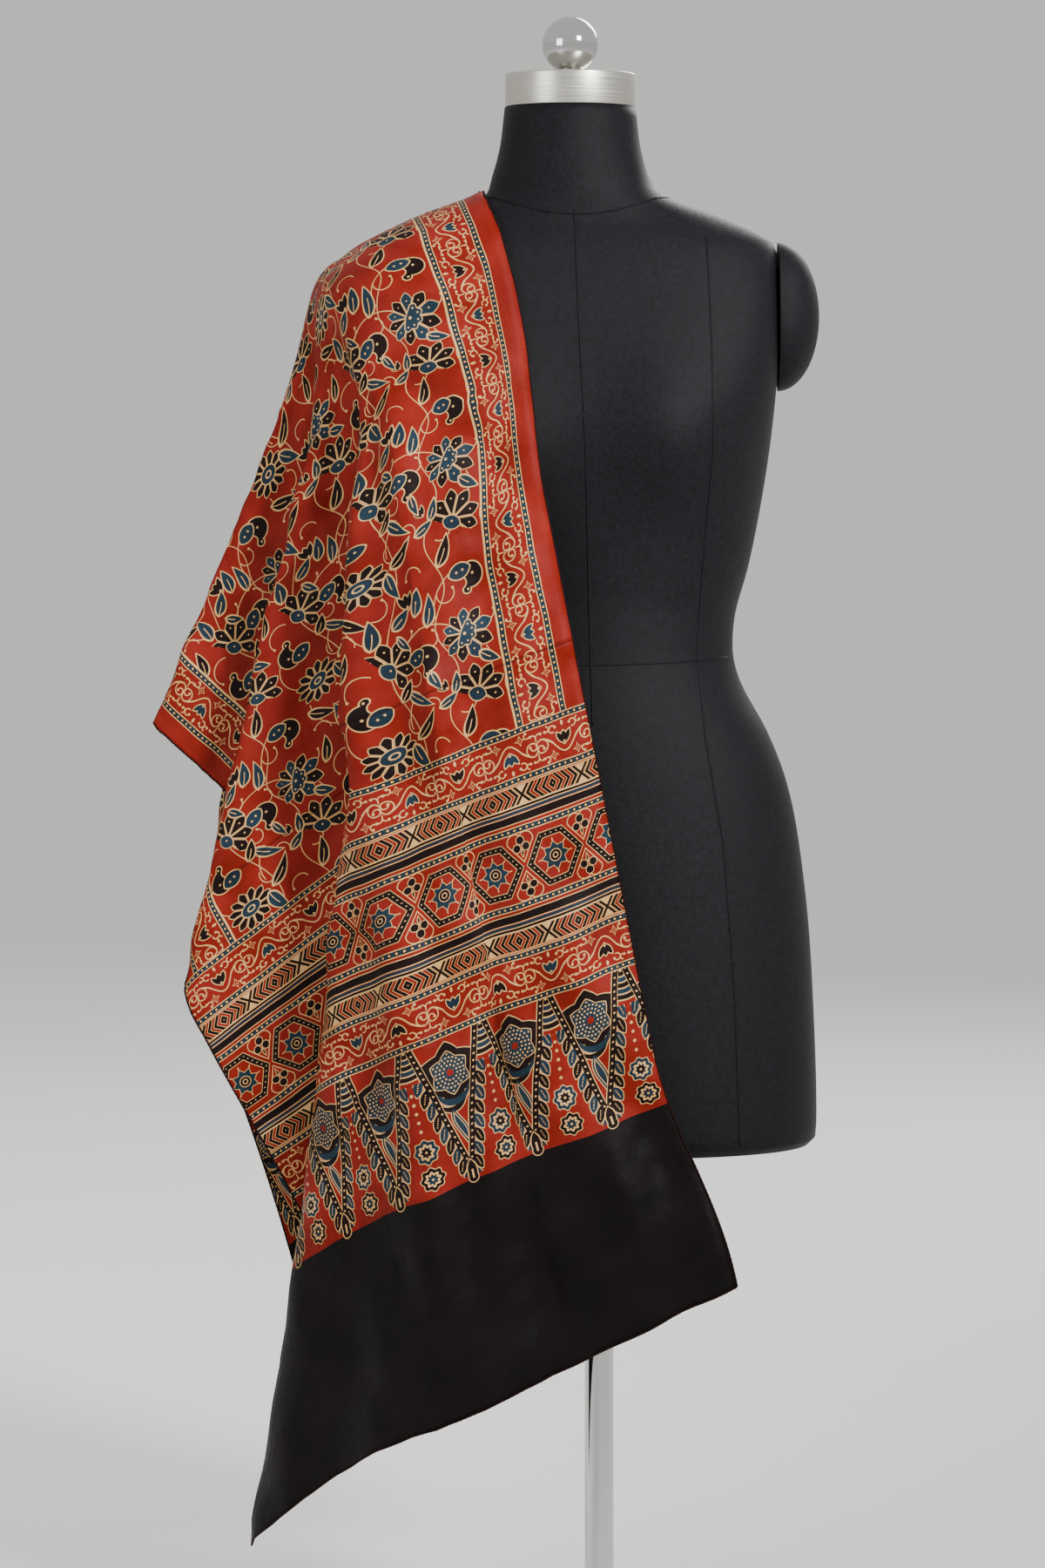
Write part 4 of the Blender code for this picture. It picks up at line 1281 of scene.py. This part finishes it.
def rounded(low, high, radius, edge):
    """The profile of a disc with rounded rims."""
    arc = [radians(18 * i) for i in range(6)]
    lower = [(radius - edge + edge * sin(a), low + edge - edge * cos(a)) for a in arc]
    upper = [(radius - edge + edge * cos(a), high - edge + edge * sin(a)) for a in arc]
    return lower + upper


# %% The cap and the ball
BALL_STEM = 0.011
low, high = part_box("neck_cap")
turned("neck_cap", rounded(low.z, high.z, high.y, 0.0012), brushed)
low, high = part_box("neck_ball")
arc = np.radians(np.linspace(26.5, 179.5, 40))
ball = [(high.y * sin(a), high.z - high.y * (1 + cos(a))) for a in arc]
turned("neck_ball", [(BALL_STEM, low.z), *ball], polished)
print("the ball is", round(high.y * 2000, 1), "mm across")

# %% The stand
HUB_HEIGHT, HUB_RADIUS, POLE_RADIUS, FLANGE_THICKNESS = 0.034, 0.028, 0.0125, 0.006
low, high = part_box("stand_pole")
hub_top, flange_low = low.z + HUB_HEIGHT, high.z - FLANGE_THICKNESS
hub, flange = rounded(low.z, hub_top, HUB_RADIUS, 0.004), rounded(flange_low, high.z, high.y, 0.001)
apart = 0.0001  # two rings at one height would be bridged the wrong way round
pole = hub + [(POLE_RADIUS, hub_top + apart), (POLE_RADIUS, flange_low - apart)] + flange
turned("stand_pole", pole, polished)
low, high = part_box("stand_foot")
turned("stand_foot", rounded(low.z, high.z, high.y, 0.003), polished)
print("the foot is", round(high.y * 2000), "mm across")

# %% [markdown]
# ## Floor, light and camera
# The picture was made in soft white light. A narrowed light from the upper right gives the folds their
# shape, a wide soft one at the left opens their shadows, and one behind lights the edges. A pale
# surrounding fills in the rest. The floor rises far away, so that no horizon shows. The camera is level, at
# the height of the bust, and its lens is shifted down to frame the cloth.

# %% Floor
LEVEL_RADIUS, RISE_WIDTH, RISE_HEIGHT = 7.0, 15.0, 4.5
steps = np.linspace(0.0, 1.0, 25)
sweep = [(LEVEL_RADIUS + RISE_WIDTH * a, RISE_HEIGHT * smoothstep(a) ** 1.5) for a in steps]
turns = 2 * pi * np.arange(128) / 128
bm = bmesh.new()
rings = [[bm.verts.new((r * cos(a), r * sin(a), z)) for a in turns] for r, z in sweep]
loops = [[bm.edges.new((a, b)) for a, b in zip(ring, ring[1:] + ring[:1])] for ring in rings]
bmesh.ops.contextual_create(bm, geom=loops[0])
for lower, upper in zip(loops, loops[1:]):
    bmesh.ops.bridge_loops(bm, edges=lower + upper)
bmesh.ops.recalc_face_normals(bm, faces=bm.faces)
bm.faces.ensure_lookup_table()
if bm.faces[0].normal.z < 0:
    bmesh.ops.reverse_faces(bm, faces=bm.faces)
floor_material, _, _ = new_material(
    "pale_floor", Base_Color=linear("#F4F3F1"), Roughness=1.0, Specular_IOR_Level=0.0
)
mesh = bpy.data.meshes.new("floor")
bm.to_mesh(mesh)
bm.free()
floor = bpy.data.objects.new("floor", mesh)
bpy.context.scene.collection.objects.link(floor)
mesh.shade_smooth()
mesh.materials.append(floor_material)
print("the floor is level for", LEVEL_RADIUS, "m around the form")


# %% Light
def soft_light(name, place, aim, size, power, spread=180):
    """A square area light that faces a point. A grid in front of it narrows its spread, in degrees."""
    lamp = bpy.data.lights.new(name, "AREA")
    lamp.shape, lamp.size, lamp.energy, lamp.spread = "SQUARE", size, power, radians(spread)
    made = bpy.data.objects.new(name, lamp)
    made.location = place
    made.rotation_euler = (Vector(aim) - Vector(place)).to_track_quat("-Z", "Y").to_euler()
    bpy.context.scene.collection.objects.link(made)


soft_light("key", (2.1, -2.7, 2.7), (-0.04, 0.0, 0.98), 0.8, 9.6, 34)
soft_light("fill", (-2.6, -2.6, 1.8), (0.0, 0.0, 0.95), 1.6, 38.0)
soft_light("behind", (1.2, 3.2, 2.8), (0.0, 0.0, 0.95), 1.4, 90.0)
world = bpy.data.worlds.new("pale_room")
bpy.context.scene.world = world
world.use_nodes = True
world.node_tree.nodes["Background"].inputs["Color"].default_value = linear("#F4F4F4")
world.node_tree.nodes["Background"].inputs["Strength"].default_value = 0.8
print("three lamps and a pale room light the cloth")

# %% Camera
camera = bpy.data.cameras.new("camera")
camera.sensor_fit, camera.sensor_height, camera.lens, camera.shift_y = "VERTICAL", 36.0, 106.67, -0.2193
viewer = bpy.data.objects.new("camera", camera)
viewer.location, viewer.rotation_euler = EYE, (pi / 2, 0.0, 0.0)
bpy.context.scene.collection.objects.link(viewer)
bpy.context.scene.camera = viewer
print("the camera stands", -EYE[1], "m in front, at a height of", EYE[2], "m")
